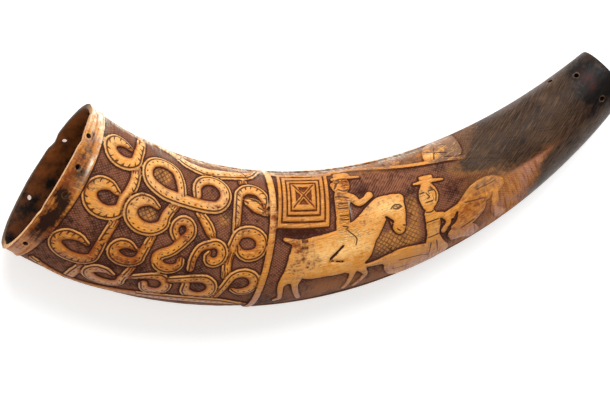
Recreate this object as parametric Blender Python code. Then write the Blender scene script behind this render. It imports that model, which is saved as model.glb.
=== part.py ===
"""Carved powder horn: one flattened, curved horn, hollow from end to end, lying on its back.

The form is a row of oval sections along a bending middle line. A place on it is given by
how far along the middle line it is and by an angle round it: 0 is the middle of the
carved front, +90 the inner curve, -90 the outer curve and 180 the middle of the back.
The carving is drawn in those two coordinates, as strokes that widen and narrow, and its
ground is cut away round them to one depth.
"""

import math

import bmesh
import bpy
import numpy as np
from mathutils import Vector, geometry

# The middle line, in metres and degrees.
LENGTH = 0.3176
BEND = 80.4
BEND_BIAS = 0.293
MOUTH_HEADING = -37.9

# Half the height of the oval at the mouth, at each third and at the tip, and the share of that
# which is half its depth.
HALF_HEIGHTS = (0.0389, 0.0339, 0.0268, 0.0160)
MOUTH_DEPTH_SHARE = 0.64
TIP_DEPTH_SHARE = 0.85

# Lean of the two end cuts, in degrees: towards the inner curve, and towards the front.
MOUTH_CUT = (-4.1, -0.7)
TIP_CUT = (0.0, -2.8)
CUT_FADE = 0.012

# Walls, peg holes and the bare ring round each hole. A peg hole is steps along and degrees round.
MOUTH_WALL = 0.0027
TIP_WALL = 0.0046
PEG_HOLE = 0.0025
PEG_MARGIN = 0.0008
PEG_SIDES = 10
PEGS = (
    (2.6, 44), (4.3, 19), (5.6, -2), (4.4, -52), (4.2, -110), (4.6, -158), (4.4, 152), (4.2, 106),
    (303.1, 56), (291.6, 86), (304.5, -6),
)

# The carving: depth of its ground, width of each kind of raised line, and of the cuts.
RELIEF = 0.00095
COLLAR_DROP = 0.0006
COLLAR = 0.0086
COLLAR_BOW = 0.0017
SERPENT = 0.0062
LIMB = 0.0058
DIVIDER = 0.0032
BORDER = 0.0020
COLLAR_LINE = 0.0014
CROSSING_CUT = 0.0008
LINE_CUT = 0.0012
CUT_SLOPE = 0.0003

# The flat that the horn lies on is this deep.
REST_FLAT = 0.0005

# The carver's layout. Places along the horn are counted in steps, and the rest in degrees.
STEPS = 318
STEP = LENGTH / STEPS
DIVIDER_AT = 109.6
DIVIDER_LEAN = 0.06
FADE_STEPS = (200, 236)
BACK_STRIP_TURN = 15
SQUARE = ((112.8, 18.0), (140.6, 16.3), (147.5, 78.0), (117.5, 79.0))
SQUARE_RINGS = (0.84, 0.65, 0.5)
BACK_SQUARES = 3
BACK_SQUARE_SIDE = 20
BACK_SQUARE_PITCH = 27
BACK_COILS = 5
BACK_COIL_FIRST = 21
BACK_COIL_PITCH = 17.6
BACK_COIL_REACH = 7.5
BACK_COIL_SPREAD = 16
BACK_COIL_SWEEP = (-10, 245)
BACK_COIL_SHARE = 0.82
BACK_LEAD_TURNS = (104, 120)
BACK_ROW_TURN = 135
BACK_SQUARE_TURNS = (121, 151)
BACK_BORDER_TURN = 101

# A serpent's share of its full width at shares of its length, and a quarter wedge of a square.
SWELL_AT = (0, 0.3, 0.55, 0.8, 1)
SWELL = (0.95, 1.1, 1.03)
WEDGE = ((0.2, 0.3), (0.6, 2.2))

# How finely the surface is drawn.
GRID = 0.0005
GRID_TURN = 0.75
RING = 32
INNER_RING = 24
STATION = 0.0118
INNER_STATION = 0.0236
KEEP_OFF = 0.0014
STRAIGHTEN = 0.0003
FAR = 0.0024
SPECK = 0.0008
SKIN_DEGREE = 0.0006
SAME_PLACE = 0.00002

HORN_COLOUR = (0.62, 0.36, 0.10, 1.0)
HORN_ROUGHNESS = 0.42


# Form of the horn.
def heading_at(share):
    return np.radians(MOUTH_HEADING + BEND * (share + BEND_BIAS * share * (1 - share)))


def middle_line():
    """Stations on the middle line, as shares of LENGTH and places."""
    share = np.linspace(-0.02, 1.02, 521)
    heading = heading_at(share)
    step = (share[1] - share[0]) * LENGTH
    line = [share]
    for run in (np.cos(heading) * step, np.sin(heading) * step):
        line.append(np.concatenate([[0.0], np.cumsum((run[1:] + run[:-1]) / 2)]))
    return line


def half_height_at(share):
    last = len(HALF_HEIGHTS) - 1
    return np.polyval(np.polyfit(np.arange(last + 1) / last, HALF_HEIGHTS, last), share)


def half_depth_at(share):
    return half_height_at(share) * (MOUTH_DEPTH_SHARE + (TIP_DEPTH_SHARE - MOUTH_DEPTH_SHARE) * share)


def wall_at(along):
    return MOUTH_WALL + (TIP_WALL - MOUTH_WALL) * along / LENGTH


def place(along, turn, rise):
    """Places of points that stand above the skin by rise, before the horn is laid down."""
    share = along / LENGTH
    angle = np.radians(turn)
    height = half_height_at(share)
    depth = half_depth_at(share)
    out_side = depth * np.sin(angle)
    out_up = height * np.cos(angle)
    out = np.hypot(out_side, out_up)
    side = height * np.sin(angle) + rise * out_side / out
    up = depth * np.cos(angle) + rise * out_up / out
    ends = [0, CUT_FADE, LENGTH - CUT_FADE, LENGTH]
    mouth_side, mouth_up, tip_side, tip_up = np.tan(np.radians(MOUTH_CUT + TIP_CUT))
    forward = side * np.interp(along, ends, [mouth_side, 0, 0, tip_side])
    forward = forward + up * np.interp(along, ends, [mouth_up, 0, 0, tip_up])
    heading = heading_at(share)
    stations, line_x, line_y = middle_line()
    x = np.interp(share, stations, line_x) - np.sin(heading) * side + np.cos(heading) * forward
    y = np.interp(share, stations, line_y) + np.cos(heading) * side + np.sin(heading) * forward
    return np.stack([x, y, up], axis=-1)


def stretch(along, turn):
    """Metres of skin for a metre along the middle line, and for a degree round it."""
    share = along / LENGTH
    angle = np.radians(turn)
    height = half_height_at(share)
    bend = np.radians(BEND) * (1 + BEND_BIAS * (1 - 2 * share)) / LENGTH
    round_reach = np.hypot(height * np.cos(angle), half_depth_at(share) * np.sin(angle))
    return 1 - bend * height * np.sin(angle), np.radians(round_reach)


# Strokes of the carving. A knot is steps along, degrees round and a share of the width.
def arc(along, turn, reach, spread, start, stop, shrink=1.0, knots=9):
    """Knots on an oval turn from one angle to another, which shrinks in its last part."""
    found = []
    for share in np.linspace(0, 1, knots):
        angle = math.radians(start + (stop - start) * share)
        size = 1 - (1 - shrink) * share**4
        found.append((along + reach * size * math.cos(angle), turn + spread * size * math.sin(angle)))
    return found


def smooth(knots, pieces=4):
    """Points on a smooth curve through the knots."""
    knots = np.array(knots, float)
    padded = np.vstack([2 * knots[0] - knots[1], knots, 2 * knots[-1] - knots[-2]])
    t = (np.arange(pieces) / pieces)[:, None]
    spans = []
    for a, b, c, d in zip(padded, padded[1:], padded[2:], padded[3:]):
        cubic = (3 * b - a - 3 * c + d) * t**3 + (2 * a - 5 * b + 4 * c - d) * t**2
        spans.append(b + (cubic + (c - a) * t) / 2)
    return np.vstack(spans + [knots[-1:]])


def swelling(route, size=1.0, ends=(0.75, 0.42)):
    """A serpent: fullest past its middle and thinner towards both ends."""
    points = smooth(route)
    share = np.linspace(0, 1, len(points))
    swell = np.interp(share, SWELL_AT, [ends[0], *SWELL, ends[1]])
    return np.column_stack([points, swell * size * SERPENT / 2])


def limb(knots, width):
    """A stroke whose share of the width is given at each knot."""
    points = smooth(knots)
    points[:, 2] *= width / 2
    return points


def coil(lead, along, turn, reach, spread, start=15):
    """A lead that winds clockwise into a spiral."""
    return lead + arc(along, turn, reach, spread, start, -302, 0.74)


def front_serpents():
    """The interlace next to the mouth. Each passes under those before it."""
    long_loop = [(60.5, 32.5), (59.3, 41)] + arc(48.1, 45.3, 9.6, 12.8, 15, 235)
    long_loop += [(50, 30.8), (56, 30), (64, 29.6), (72, 29.4)]
    long_loop += arc(76.5, 42.5, 8.5, 13, -68, 202)
    eight = arc(64.5, 7.8, 4.4, 7.3, 235, -40) + [(62.5, -9)] + arc(62.5, -18, 5.5, 7, 150, 378)
    lower_wave = [(12, -66), (30, -76), (56, -63), (75, -57), (92, -57), (104, -63)]
    upper_wave = [(36, 96), (54, 81), (62, 69.5), (75, 65), (88, 68.5), (100, 73), (107, 84)]
    lower_ring = [(67, -34), (73, -31)] + arc(80, -39, 6, 10.5, 110, -190)
    hook = [(73.3, -21), (73, -12), (75, -3)] + arc(82, -6, 4.5, 8.2, 120, -190, 0.5)
    corner_ring = [(88.5, -50), (90.5, -38)] + arc(98.5, -31, 6.3, 10.5, 150, -130, 0.9)
    inner_ring = [(90.4, -24), (89.4, -8)] + arc(98.3, 4, 7.3, 10.4, 150, -165, 0.75)
    long_neck = [(91.4, 12), (91.4, 28)] + arc(99.5, 39.4, 7.8, 13.6, 160, -12)
    leaf = [(48, -43), (55, -36.5)] + arc(61, -43, 5.2, 9.6, 110, -165, 0.9)
    head = [(97.5, 40, 0.7), (102, 36.5, 1.1), (105.5, 33, 0.8), (108.5, 30, 0.5)]
    return [
        swelling(lower_wave, 0.74),
        swelling(long_loop, 0.88, (0.8, 0.75)),
        swelling(coil([(58, 26)], 45.5, 12, 9.5, 11.3)),
        swelling(coil([(51, -2)], 43.3, -20.4, 6.7, 7.8), 0.86),
        swelling(coil([(48.5, -31)], 40, -49, 7.5, 8.4, 20), 0.8),
        swelling(eight, 0.82, (0.8, 0.7)),
        swelling(lower_ring, 0.82, (0.75, 0.8)),
        swelling(hook, 0.76),
        swelling([(71, 24), (76, 16), (80.5, 6)], 0.72, (0.8, 0.6)),
        swelling(corner_ring, 0.78),
        swelling(inner_ring, 0.92),
        swelling(long_neck, 0.8),
        limb(head, LIMB),
        swelling(leaf, 0.76, (0.6, 0.9)),
        swelling(coil([(33, 79), (32.5, 67)], 22.7, 50.2, 9.2, 10.2), 0.97),
        swelling(coil([(32.5, 44), (33.5, 28)], 23.2, 11, 9.3, 10.6, 20), 1.07, (0.7, 0.5)),
        swelling(coil([(31.7, -2), (31, -17)], 22.2, -31.8, 9.4, 10.2), 0.92),
        swelling([(29.5, -44), (28.5, -58), (29, -84)], 0.78, (0.9, 0.6)),
        swelling(upper_wave, 0.9),
        swelling([(95.5, 72), (95.5, 58)], 0.65, (1, 1)),
    ]


def back_serpents():
    """The plainer back: two rows of like coils, one each side of the strip it lies on."""
    rows = []
    for row in (-1, 1):
        for count in range(BACK_COILS):
            along = BACK_COIL_FIRST + BACK_COIL_PITCH * count
            lead_at = along + BACK_COIL_PITCH / 2
            turned = arc(along, BACK_ROW_TURN, BACK_COIL_REACH, BACK_COIL_SPREAD, *BACK_COIL_SWEEP, 0.75)
            route = [(lead_at, turn) for turn in BACK_LEAD_TURNS] + turned
            rows.append(swelling([(at, row * turn) for at, turn in route], BACK_COIL_SHARE))
    return rows


def figures():
    """Rider and horse, the standing figure and the beasts, as limbs in one plain relief."""
    rider_and_horse = [
        [(126, -9, 2.2), (130, -10.5, 3.6), (138, -10, 3.8), (146, -9, 4.0), (152, -7, 3.8)],
        [(125, 0, 1.5), (123.5, -14, 1.7), (121, -26, 1.4)],
        [(150, -4, 3.4), (158.5, 5, 2.7), (165.5, 17, 2.1), (170.5, 24.5, 1.7), (176, 24.5, 1.6)],
        [(151, -22, 2.0), (157, -13, 1.6), (160, -2, 1.5)],
        [(177, 23, 1.9), (177, 15, 1.35), (176, 8, 1.0), (175.5, 1, 0.95), (175.8, -2, 0.6)],
        [(172, 27.5, 0.9), (180.8, 27.5, 0.9)],
        [(123, 5, 0.6), (119.5, 7, 0.4), (117, 8.5, 0.3)],
        [(120, -26, 1.2), (117.5, -35, 0.6), (118, -46, 0.42), (118.5, -54, 0.4), (116.5, -57, 0.35)],
        [(124, -26, 1.2), (124, -36, 0.6), (125.5, -47, 0.45), (127.5, -57, 0.4)],
        [(152, -27, 1.0), (151.5, -36, 0.5), (150.3, -46, 0.38), (148.5, -56, 0.36)],
        [(155, -27, 1.0), (157.5, -36, 0.5), (158, -42, 0.4), (153.5, -56, 0.36)],
        [(148, 14, 1.2), (149, 25, 1.15), (149.9, 35, 1.25), (151, 42, 1.35)],
        [(153, 43, 0.7), (156.5, 39, 0.7), (159, 33.5, 0.6), (163, 35.5, 0.5), (166, 39, 0.6)],
        [(152, 50, 0.9), (153, 56, 1.35), (154, 60, 1.1)],
        [(148.5, 57, 0.6), (149, 52, 0.6)],
        [(148.5, 66, 0.35), (155, 67.5, 0.45), (163, 64, 0.3)],
        [(151.5, 70, 0.7), (157, 70, 0.7)],
    ]
    standing_figure = [
        [(194, 28, 1.0), (194.5, 20, 1.6), (195, 12, 1.0)],
        [(194.5, 2, 1.0), (195, -8, 1.35), (194, -18, 1.2), (193.5, -25, 1.2)],
        [(193.5, -28, 1.4), (194, -40, 1.9), (196, -52, 2.1)],
        [(197, -2, 0.6), (201, -5, 0.5), (203, -14, 0.5), (199.5, -22, 0.5)],
        [(191, 33, 0.5), (198, 36, 0.55), (208, 32, 0.35)],
    ]
    beasts = [
        [(203, -7, 0.7), (211.5, -8, 1.4), (221, -1.5, 2.0), (228.5, -0.5, 1.9), (234, -2, 1.1)],
        [(208, -24, 1.6), (213, -19, 2.2), (219, -14, 1.9)],
        [(205, -34, 1.4), (212, -40, 1.5), (215, -50, 1.3)],
        [(230, -8, 0.9), (229.5, -20, 0.7), (228, -32, 0.7), (231, -46, 1.0)],
        [(170, -32, 1.2), (176, -34, 2.0), (183, -38, 2.2), (189, -42, 2.0)],
        [(171, -40, 1.3), (175, -48, 2.0), (182, -56, 2.4), (192, -62, 2.2)],
        [(157, -29, 0.3), (163, -29.5, 0.5), (170, -29, 0.9)],
    ]
    roofs = [[(186, 78, 1.2), (189, 78, 1.2)], [(205.5, 71, 1.4), (213, 69, 1.4)]]
    return [limb(knots, LIMB) for knots in rider_and_horse + standing_figure + beasts + roofs]


def figure_cuts():
    """Cuts in the figures that show from a step away: boot, mouth, slots and a skirt's edge."""
    cuts = [
        [(147, -3, 0.9), (140.5, -13, 1.3)],
        [(140, -15.5, 0.8), (146.5, -18, 0.8)],
        [(171.5, 14, 1.0), (174.5, 7, 1.2), (173, 1, 0.8)],
        [(208.5, -9, 1.0), (206, -17, 2.0), (202, -22, 0.8)],
        [(229, -10, 0.8), (226, -19, 1.0)],
        [(236, -9, 0.6), (231.5, -32, 1.2)],
        [(199, -26, 0.8), (202, -40, 0.9), (203, -58, 0.8)],
    ]
    return [limb(knots, LINE_CUT) for knots in cuts]


def collar_at(turn):
    """Where the collar ends: its line bows away from the rim on the front and on the back."""
    return COLLAR + COLLAR_BOW * np.cos(2 * np.radians(turn))


def ribs():
    """Raised lines that part the carving: collar line, divider and long borders."""
    around = np.linspace(-180, 180, 61)
    half = np.ones(len(around)) / 2
    lean = DIVIDER_LEAN * around * (1 - np.abs(around) / 180)
    divider = np.column_stack([DIVIDER_AT + lean, around, half * DIVIDER])
    collar_line = np.column_stack([collar_at(around) / STEP, around, half * COLLAR_LINE])
    inner = [(112, 79, 1), (146, 76, 1), (150, 79, 1), (165, 79, 1), (182, 69, 1), (196, 61, 1)]
    inner += [(214, 52, 1), (226, 43, 1), (238, 36, 1)]
    outer = [(109, -84, 1), (150, -80, 1), (200, -78, 1), (232, -74, 1)]
    borders = [limb(inner, BORDER), limb(outer, BORDER)]
    for row in (-1, 1):
        back = [(at, row * BACK_BORDER_TURN, 1) for at in np.linspace(COLLAR / STEP, FADE_STEPS[1], 15)]
        borders.append(limb(back, BORDER))
    return [divider, collar_line] + borders


# Depth inside the raised parts, in metres, on a grid over the whole skin.
def grid():
    along = np.linspace(0, LENGTH, round(LENGTH / GRID) + 1)
    turn = np.linspace(-180, 180, round(360 / GRID_TURN) + 1)
    return along, turn


def stroke_depth(stroke, axes, scales):
    along_axis, turn_axis = axes
    depth = np.full((len(along_axis), len(turn_axis)), -FAR)
    for (s0, t0, w0), (s1, t1, w1) in zip(stroke, stroke[1:]):
        s0, s1 = s0 * STEP, s1 * STEP
        reach = 1.4 * (max(w0, w1) + FAR)
        reach_turn = reach / stretch((s0 + s1) / 2, (t0 + t1) / 2)[1]
        first, last = np.searchsorted(along_axis, [min(s0, s1) - reach, max(s0, s1) + reach])
        low, high = np.searchsorted(turn_axis, [min(t0, t1) - reach_turn, max(t0, t1) + reach_turn])
        window = (slice(first, last), slice(low, high))
        along_scale, turn_scale = scales[0][window], scales[1][window]
        run_s, run_t = (s1 - s0) * along_scale, (t1 - t0) * turn_scale
        gone_s = (along_axis[first:last, None] - s0) * along_scale
        gone_t = (turn_axis[None, low:high] - t0) * turn_scale
        share = (gone_s * run_s + gone_t * run_t) / (run_s**2 + run_t**2 + 1e-18)
        share = np.clip(share, 0, 1)
        away = np.hypot(gone_s - share * run_s, gone_t - share * run_t)
        depth[window] = np.maximum(depth[window], w0 + (w1 - w0) * share - away)
    return depth


def union_depth(strokes, axes, scales):
    return np.maximum.reduce([stroke_depth(stroke, axes, scales) for stroke in strokes])


def plate_depth(corners, axes, scales):
    """Depth inside a four-sided plate whose corners run anticlockwise."""
    along = axes[0][:, None]
    turn = axes[1][None, :]
    depth = np.full(scales[0].shape, np.inf)
    for (s0, t0), (s1, t1) in zip(corners, corners[1:] + corners[:1]):
        run_s, run_t = (s1 - s0) * STEP * scales[0], (t1 - t0) * scales[1]
        gone_s, gone_t = (along - s0 * STEP) * scales[0], (turn - t0) * scales[1]
        depth = np.minimum(depth, (run_s * gone_t - run_t * gone_s) / np.hypot(run_s, run_t))
    return depth


def nested_squares(corners, rings, axes, scales):
    """A plate with square rings cut round its middle, and a wedge cut in each quarter."""
    middle = np.mean(corners, axis=0)
    raised = plate_depth(corners, axes, scales)
    for ring in rings:
        inner = [tuple(middle + (np.array(corner) - middle) * ring) for corner in corners]
        raised = np.minimum(raised, np.abs(plate_depth(inner, axes, scales)) - LINE_CUT / 2)
    last = rings[-1]
    for here, there in zip(corners, corners[1:] + corners[:1]):
        outward = (np.array(here) + there) / 2 - middle
        wedge = [(*(middle + outward * last * share), size) for share, size in WEDGE]
        raised = np.minimum(raised, -stroke_depth(limb(wedge, LINE_CUT), axes, scales))
    return raised


def back_squares():
    """Corners of the plainer plates on the back, in one row each side of the strip."""
    plates = []
    half = BACK_SQUARE_SIDE / 2
    for row in (-1, 1):
        for count in range(BACK_SQUARES):
            at = DIVIDER_AT + DIVIDER / STEP + half + BACK_SQUARE_PITCH * (count + 0.15)
            low, high = BACK_SQUARE_TURNS
            corners = [(at - half, low), (at + half, low), (at + half, high), (at - half, high)]
            plates.append(tuple((along, row * turn) for along, turn in corners[::row]))
    return plates


def carving():
    """Depth inside the raised parts: serpents that pass under each other, ribs and figures."""
    axes = grid()
    scales = stretch(axes[0][:, None], axes[1][None, :])
    raised = union_depth(ribs(), axes, scales)
    from_strip = (np.abs(axes[1])[None, :] - (180 - BACK_STRIP_TURN)) * scales[1]
    strip_ends = np.minimum(axes[0] - COLLAR, FADE_STEPS[1] * STEP - axes[0])
    raised = np.maximum(raised, np.minimum(from_strip, strip_ends[:, None]))
    for stroke in front_serpents() + back_serpents():
        own = stroke_depth(stroke, axes, scales)
        raised = np.maximum(raised, np.minimum(own, -raised - CROSSING_CUT))
    people = union_depth(figures(), axes, scales)
    people = np.minimum(people, -union_depth(figure_cuts(), axes, scales))
    plates = [nested_squares(SQUARE, SQUARE_RINGS, axes, scales)]
    for corners in back_squares():
        plates.append(nested_squares(corners, SQUARE_RINGS[::2], axes, scales))
    raised = np.maximum.reduce([raised, people] + plates)
    for steps, turn in PEGS:
        across = np.hypot((axes[0][:, None] - steps * STEP) * scales[0], (axes[1] - turn) * scales[1])
        raised = np.minimum(raised, across - PEG_HOLE / 2 - PEG_MARGIN)
    raised[:, -1] = raised[:, 0]
    return axes, np.clip(raised, -FAR, FAR)


def ground_depth(along, turn):
    """How deep the ground lies under the raised parts."""
    past_collar = along - collar_at(turn)
    drop = np.interp(past_collar, [-COLLAR_LINE, COLLAR_LINE], [COLLAR_DROP, RELIEF])
    return drop * np.interp(along, np.array(FADE_STEPS) * STEP, [1, 0])


# Outlines of the raised parts, traced on the grid.
def crossings(field, axes):
    """Places on the grid's lines where the field is zero."""
    inside = field > 0
    points = {}
    changes = [inside[:-1] != inside[1:], inside[:, :-1] != inside[:, 1:]]
    for axis, change in enumerate(changes):
        for i, j in np.argwhere(change).tolist():
            there = field[i + 1 - axis, j + axis]
            spot = [axes[0][i], axes[1][j]]
            spot[axis] += field[i, j] / (field[i, j] - there) * (axes[axis][1] - axes[axis][0])
            points[axis, i, j] = spot
    return points


def traced(field, axes):
    """Chains of places where the field is zero, and whether each one closes on itself."""
    inside = field > 0
    points = crossings(field, axes)
    links = {key: [] for key in points}
    corners = inside[:-1, :-1].astype(int) + inside[1:, :-1] + inside[:-1, 1:] + inside[1:, 1:]
    for i, j in np.argwhere(corners % 4 > 0).tolist():
        sides = [(0, i, j), (1, i + 1, j), (0, i, j + 1), (1, i, j)]
        found = [side for side in sides if side in points]
        middle_inside = field[i:i + 2, j:j + 2].sum() > 0
        if len(found) == 4 and middle_inside != inside[i, j]:
            found = found[-1:] + found[:-1]
        for one, other in zip(found[::2], found[1::2]):
            links[one].append(other)
            links[other].append(one)
    chains = []
    seen = set()
    for start in [key for key in links if len(links[key]) == 1] + list(links):
        if start in seen:
            continue
        chain = []
        onward = [start]
        while onward:
            seen.add(onward[0])
            chain.append(onward[0])
            onward = [key for key in links[chain[-1]] if key not in seen]
        chains.append((np.array([points[key] for key in chain]), len(links[start]) == 2))
    return chains


def straightened(chain, closed):
    """The chain with only the points that its shape needs, or nothing for a speck."""
    skin = place(chain[:, 0], chain[:, 1], 0)
    if np.ptp(skin, axis=0).max() < SPECK:
        return None
    if closed:
        chain, skin = np.vstack([chain, chain[:1]]), np.vstack([skin, skin[:1]])
    middle = int(np.argmax(np.linalg.norm(skin - skin[0], axis=1)))
    keep = {0, middle, len(skin) - 1}
    spans = [(0, middle), (middle, len(skin) - 1)]
    while spans:
        first, last = spans.pop()
        if last - first < 2:
            continue
        run = skin[last] - skin[first]
        gone = skin[first + 1:last] - skin[first]
        away = np.linalg.norm(np.cross(gone, run), axis=1) / (np.linalg.norm(run) + 1e-12)
        if away.max() > STRAIGHTEN:
            split = first + 1 + int(np.argmax(away))
            keep.add(split)
            spans += [(first, split), (split, last)]
    kept = chain[sorted(keep)]
    return kept[:-1] if closed else kept


def sampled(field, axes, along, turn):
    """The field between its grid points."""
    i = np.clip(along / (axes[0][1] - axes[0][0]), 0, len(axes[0]) - 1.001)
    j = np.clip((turn + 180) / (axes[1][1] - axes[1][0]), 0, len(axes[1]) - 1.001)
    i0, j0 = i.astype(int), j.astype(int)
    di, dj = i - i0, j - j0
    low = field[i0, j0] * (1 - di) + field[i0 + 1, j0] * di
    high = field[i0, j0 + 1] * (1 - di) + field[i0 + 1, j0 + 1] * di
    return low * (1 - dj) + high * dj


# The skin, unrolled and cut into triangles.
def peg_loops():
    """Rounds of points of the peg holes, as places along and round."""
    angles = np.radians(np.arange(PEG_SIDES) * 360 / PEG_SIDES)
    loops = []
    for steps, turn in PEGS:
        along_scale, turn_scale = stretch(steps * STEP, turn)
        across = steps * STEP + PEG_HOLE / 2 * np.cos(angles) / along_scale
        loops.append(np.column_stack([across, turn + PEG_HOLE / 2 * np.sin(angles) / turn_scale]))
    return loops


class Sheet:
    """Points, edges and triangles of one skin. A level is 1 on top, 0 on the ground."""

    def __init__(self):
        self.points = []
        self.levels = []
        self.edges = []

    def add(self, path, level=None, closed=True):
        first = len(self.points)
        self.points += [tuple(point) for point in path]
        self.levels += [level] * len(path)
        ends = list(range(first, first + len(path)))
        self.edges += list(zip(ends, ends[1:]))
        if closed:
            self.edges.append((ends[-1], ends[0]))
        return ends

    def scatter(self, path):
        self.points += [tuple(point) for point in path]
        self.levels += [None] * len(path)

    def cut(self, loops):
        """Triangles between all the points, without those inside the loops."""
        flat = [Vector((along, turn * SKIN_DEGREE)) for along, turn in self.points]
        result = geometry.delaunay_2d_cdt(flat, self.edges, [], 0, SAME_PLACE)
        spots = np.array([(spot.x, spot.y / SKIN_DEGREE) for spot in result[0]])
        found = {old: new for new, olds in enumerate(result[3]) for old in olds}
        levels = []
        for olds in result[3]:
            known = [self.levels[old] for old in olds if self.levels[old] is not None]
            levels.append(known[0] if known else None)
        rounds = [{found[point] for point in loop} for loop in loops]
        faces = [face for face in result[2] if not any(set(face) <= around for around in rounds)]
        return spots, levels, faces, found


def skin_sheet(station, field=None, axes=None):
    """One skin from the mouth to the tip, with its rings of points and its peg holes."""
    sheet = Sheet()
    chains = []
    if field is not None:
        for level, shift in ((1, 0), (0, CUT_SLOPE)):
            for chain, closed in traced(field + shift, axes):
                chain = straightened(chain, closed)
                if chain is not None:
                    sheet.add(chain, level, closed)
                    chains.append(chain)
    on_seam = [point[0] for chain in chains for point in chain if abs(point[1]) > 180 - 1e-9]
    on_seam = sorted(set(np.round(on_seam, 9)))
    stations = np.linspace(0, LENGTH, round(LENGTH / station) + 1)[1:-1]
    free = [at for at in stations if all(abs(at - other) > KEEP_OFF for other in on_seam)]
    seam = np.array(sorted(free + on_seam))
    turns = np.linspace(-180, 180, RING + 1)
    upper, lower = np.full(len(seam), 180.0), np.full(len(seam), -180.0)
    mouth = np.column_stack([np.zeros(RING + 1), turns])
    tip = np.column_stack([np.full(RING + 1, LENGTH), turns[::-1]])
    rim = np.vstack([mouth, np.column_stack([seam, upper]), tip, np.column_stack([seam[::-1], lower])])
    outline = sheet.add(rim)
    rings = [outline[:RING + 1], outline[RING + 1 + len(seam):][:RING + 1][::-1]]
    loops = [sheet.add(loop) for loop in peg_loops()]
    inner_turns = turns[1:-1] if field is not None else np.linspace(-180, 180, INNER_RING + 1)[1:-1]
    along, turn = [axis.ravel() for axis in np.meshgrid(stations, inner_turns, indexing="ij")]
    clear = np.full(len(along), True)
    if field is not None:
        clear &= np.abs(sampled(field, axes, along, turn) + CUT_SLOPE / 2) > KEEP_OFF
    for loop in peg_loops():
        middle = loop.mean(axis=0)
        away = np.hypot(along - middle[0], (turn - middle[1]) * SKIN_DEGREE)
        clear &= away > PEG_HOLE / 2 + KEEP_OFF
    sheet.scatter(np.column_stack([along, turn])[clear])
    spots, levels, faces, found = sheet.cut(loops)
    rings = [[found[point] for point in ring] for ring in rings]
    loops = [[found[point] for point in loop] for loop in loops]
    return spots, levels, faces, rings, loops


# The solid.
def outer_rise(spots, levels, field, axes):
    """How far each point of the outer skin lies above the tops, which is nothing or less."""
    sure = sampled(field, axes, spots[:, 0], spots[:, 1]) > -CUT_SLOPE / 2
    on_top = np.array([bool(high) if level is None else level == 1 for level, high in zip(levels, sure)])
    return np.where(on_top, 0, -ground_depth(spots[:, 0], spots[:, 1]))


def turned_to_lie(points, faces, walls):
    """The turn that lays the horn on the face of its hull that its weight falls inside."""
    corners = points[np.array(faces)]
    areas = np.linalg.norm(np.cross(corners[:, 1] - corners[:, 0], corners[:, 2] - corners[:, 0]), axis=1)
    weights = areas * walls[np.array(faces)].mean(axis=1)
    middle = Vector((corners.mean(axis=1) * weights[:, None]).sum(axis=0) / weights.sum())
    hull = bmesh.new()
    for point in points:
        hull.verts.new(point)
    bmesh.ops.convex_hull(hull, input=hull.verts[:])
    best = None
    for face in hull.faces:
        normal = face.normal
        ground = middle - normal * normal.dot(middle - face.verts[0].co)
        held = geometry.intersect_point_tri(ground, *[vertex.co for vertex in face.verts[:3]])
        if held is not None and (best is None or normal.z < best.z):
            best = normal.copy()
    hull.free()
    return best.rotation_difference(Vector((0, 0, -1))).to_matrix()


def horn_mesh():
    axes, field = carving()
    spots, levels, faces, rings, loops = skin_sheet(STATION, field, axes)
    outer = place(spots[:, 0], spots[:, 1], outer_rise(spots, levels, field, axes))
    inner_spots, _, inner_faces, inner_rings, inner_loops = skin_sheet(INNER_STATION)
    inner = place(inner_spots[:, 0], inner_spots[:, 1], -wall_at(inner_spots[:, 0]))
    turn = np.array(turned_to_lie(outer, faces, wall_at(spots[:, 0])))
    outer, inner = outer @ turn.T, inner @ turn.T
    outer[:, 2] = np.maximum(outer[:, 2], outer[:, 2].min() + REST_FLAT)
    low, high = outer.min(axis=0), outer.max(axis=0)
    origin = np.array([(low[0] + high[0]) / 2, (low[1] + high[1]) / 2, low[2]])
    solid = bmesh.new()
    outer_corners = [solid.verts.new(point - origin) for point in outer]
    inner_corners = [solid.verts.new(point - origin) for point in inner]
    for face in faces:
        solid.faces.new([outer_corners[corner] for corner in face])
    for face in inner_faces:
        solid.faces.new([inner_corners[corner] for corner in reversed(face)])
    for outer_ring, inner_ring in zip(rings + loops, inner_rings + inner_loops):
        pairs = list(zip(outer_ring, inner_ring))
        after = pairs[1:] if len(pairs) > PEG_SIDES else pairs[1:] + pairs[:1]
        for (a, b), (c, d) in zip(pairs, after):
            solid.faces.new([outer_corners[a], outer_corners[c], inner_corners[d], inner_corners[b]])
    bmesh.ops.remove_doubles(solid, verts=solid.verts[:], dist=SAME_PLACE)
    bmesh.ops.recalc_face_normals(solid, faces=solid.faces[:])
    mesh = bpy.data.meshes.new("horn")
    solid.to_mesh(mesh)
    solid.free()
    return mesh


def horn_material():
    material = bpy.data.materials.new("carved_horn")
    material.use_nodes = True
    shader = material.node_tree.nodes["Principled BSDF"]
    shader.inputs["Base Color"].default_value = HORN_COLOUR
    shader.inputs["Roughness"].default_value = HORN_ROUGHNESS
    shader.inputs["Metallic"].default_value = 0.0
    return material


def main():
    for old in list(bpy.data.objects):
        bpy.data.objects.remove(old)
    mesh = horn_mesh()
    mesh.shade_smooth()
    mesh.set_sharp_from_angle(angle=math.radians(25))
    horn = bpy.data.objects.new("horn", mesh)
    horn.data.materials.append(horn_material())
    bpy.context.scene.collection.objects.link(horn)


main()
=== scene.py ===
"""Looks of the carved powder horn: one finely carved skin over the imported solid, and its table.

A place on the horn is given by how far along its middle line it is and by an angle round it:
0 is the middle of the carved front, +90 the inner curve, -90 the outer curve and 180 the back.
The skin is a grid in those two coordinates, rolled up. Each of its points knows how deep it
lies inside the raised carving, and the stains and cut lines of the finish are drawn from that.
"""

import math
from functools import partial

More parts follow.
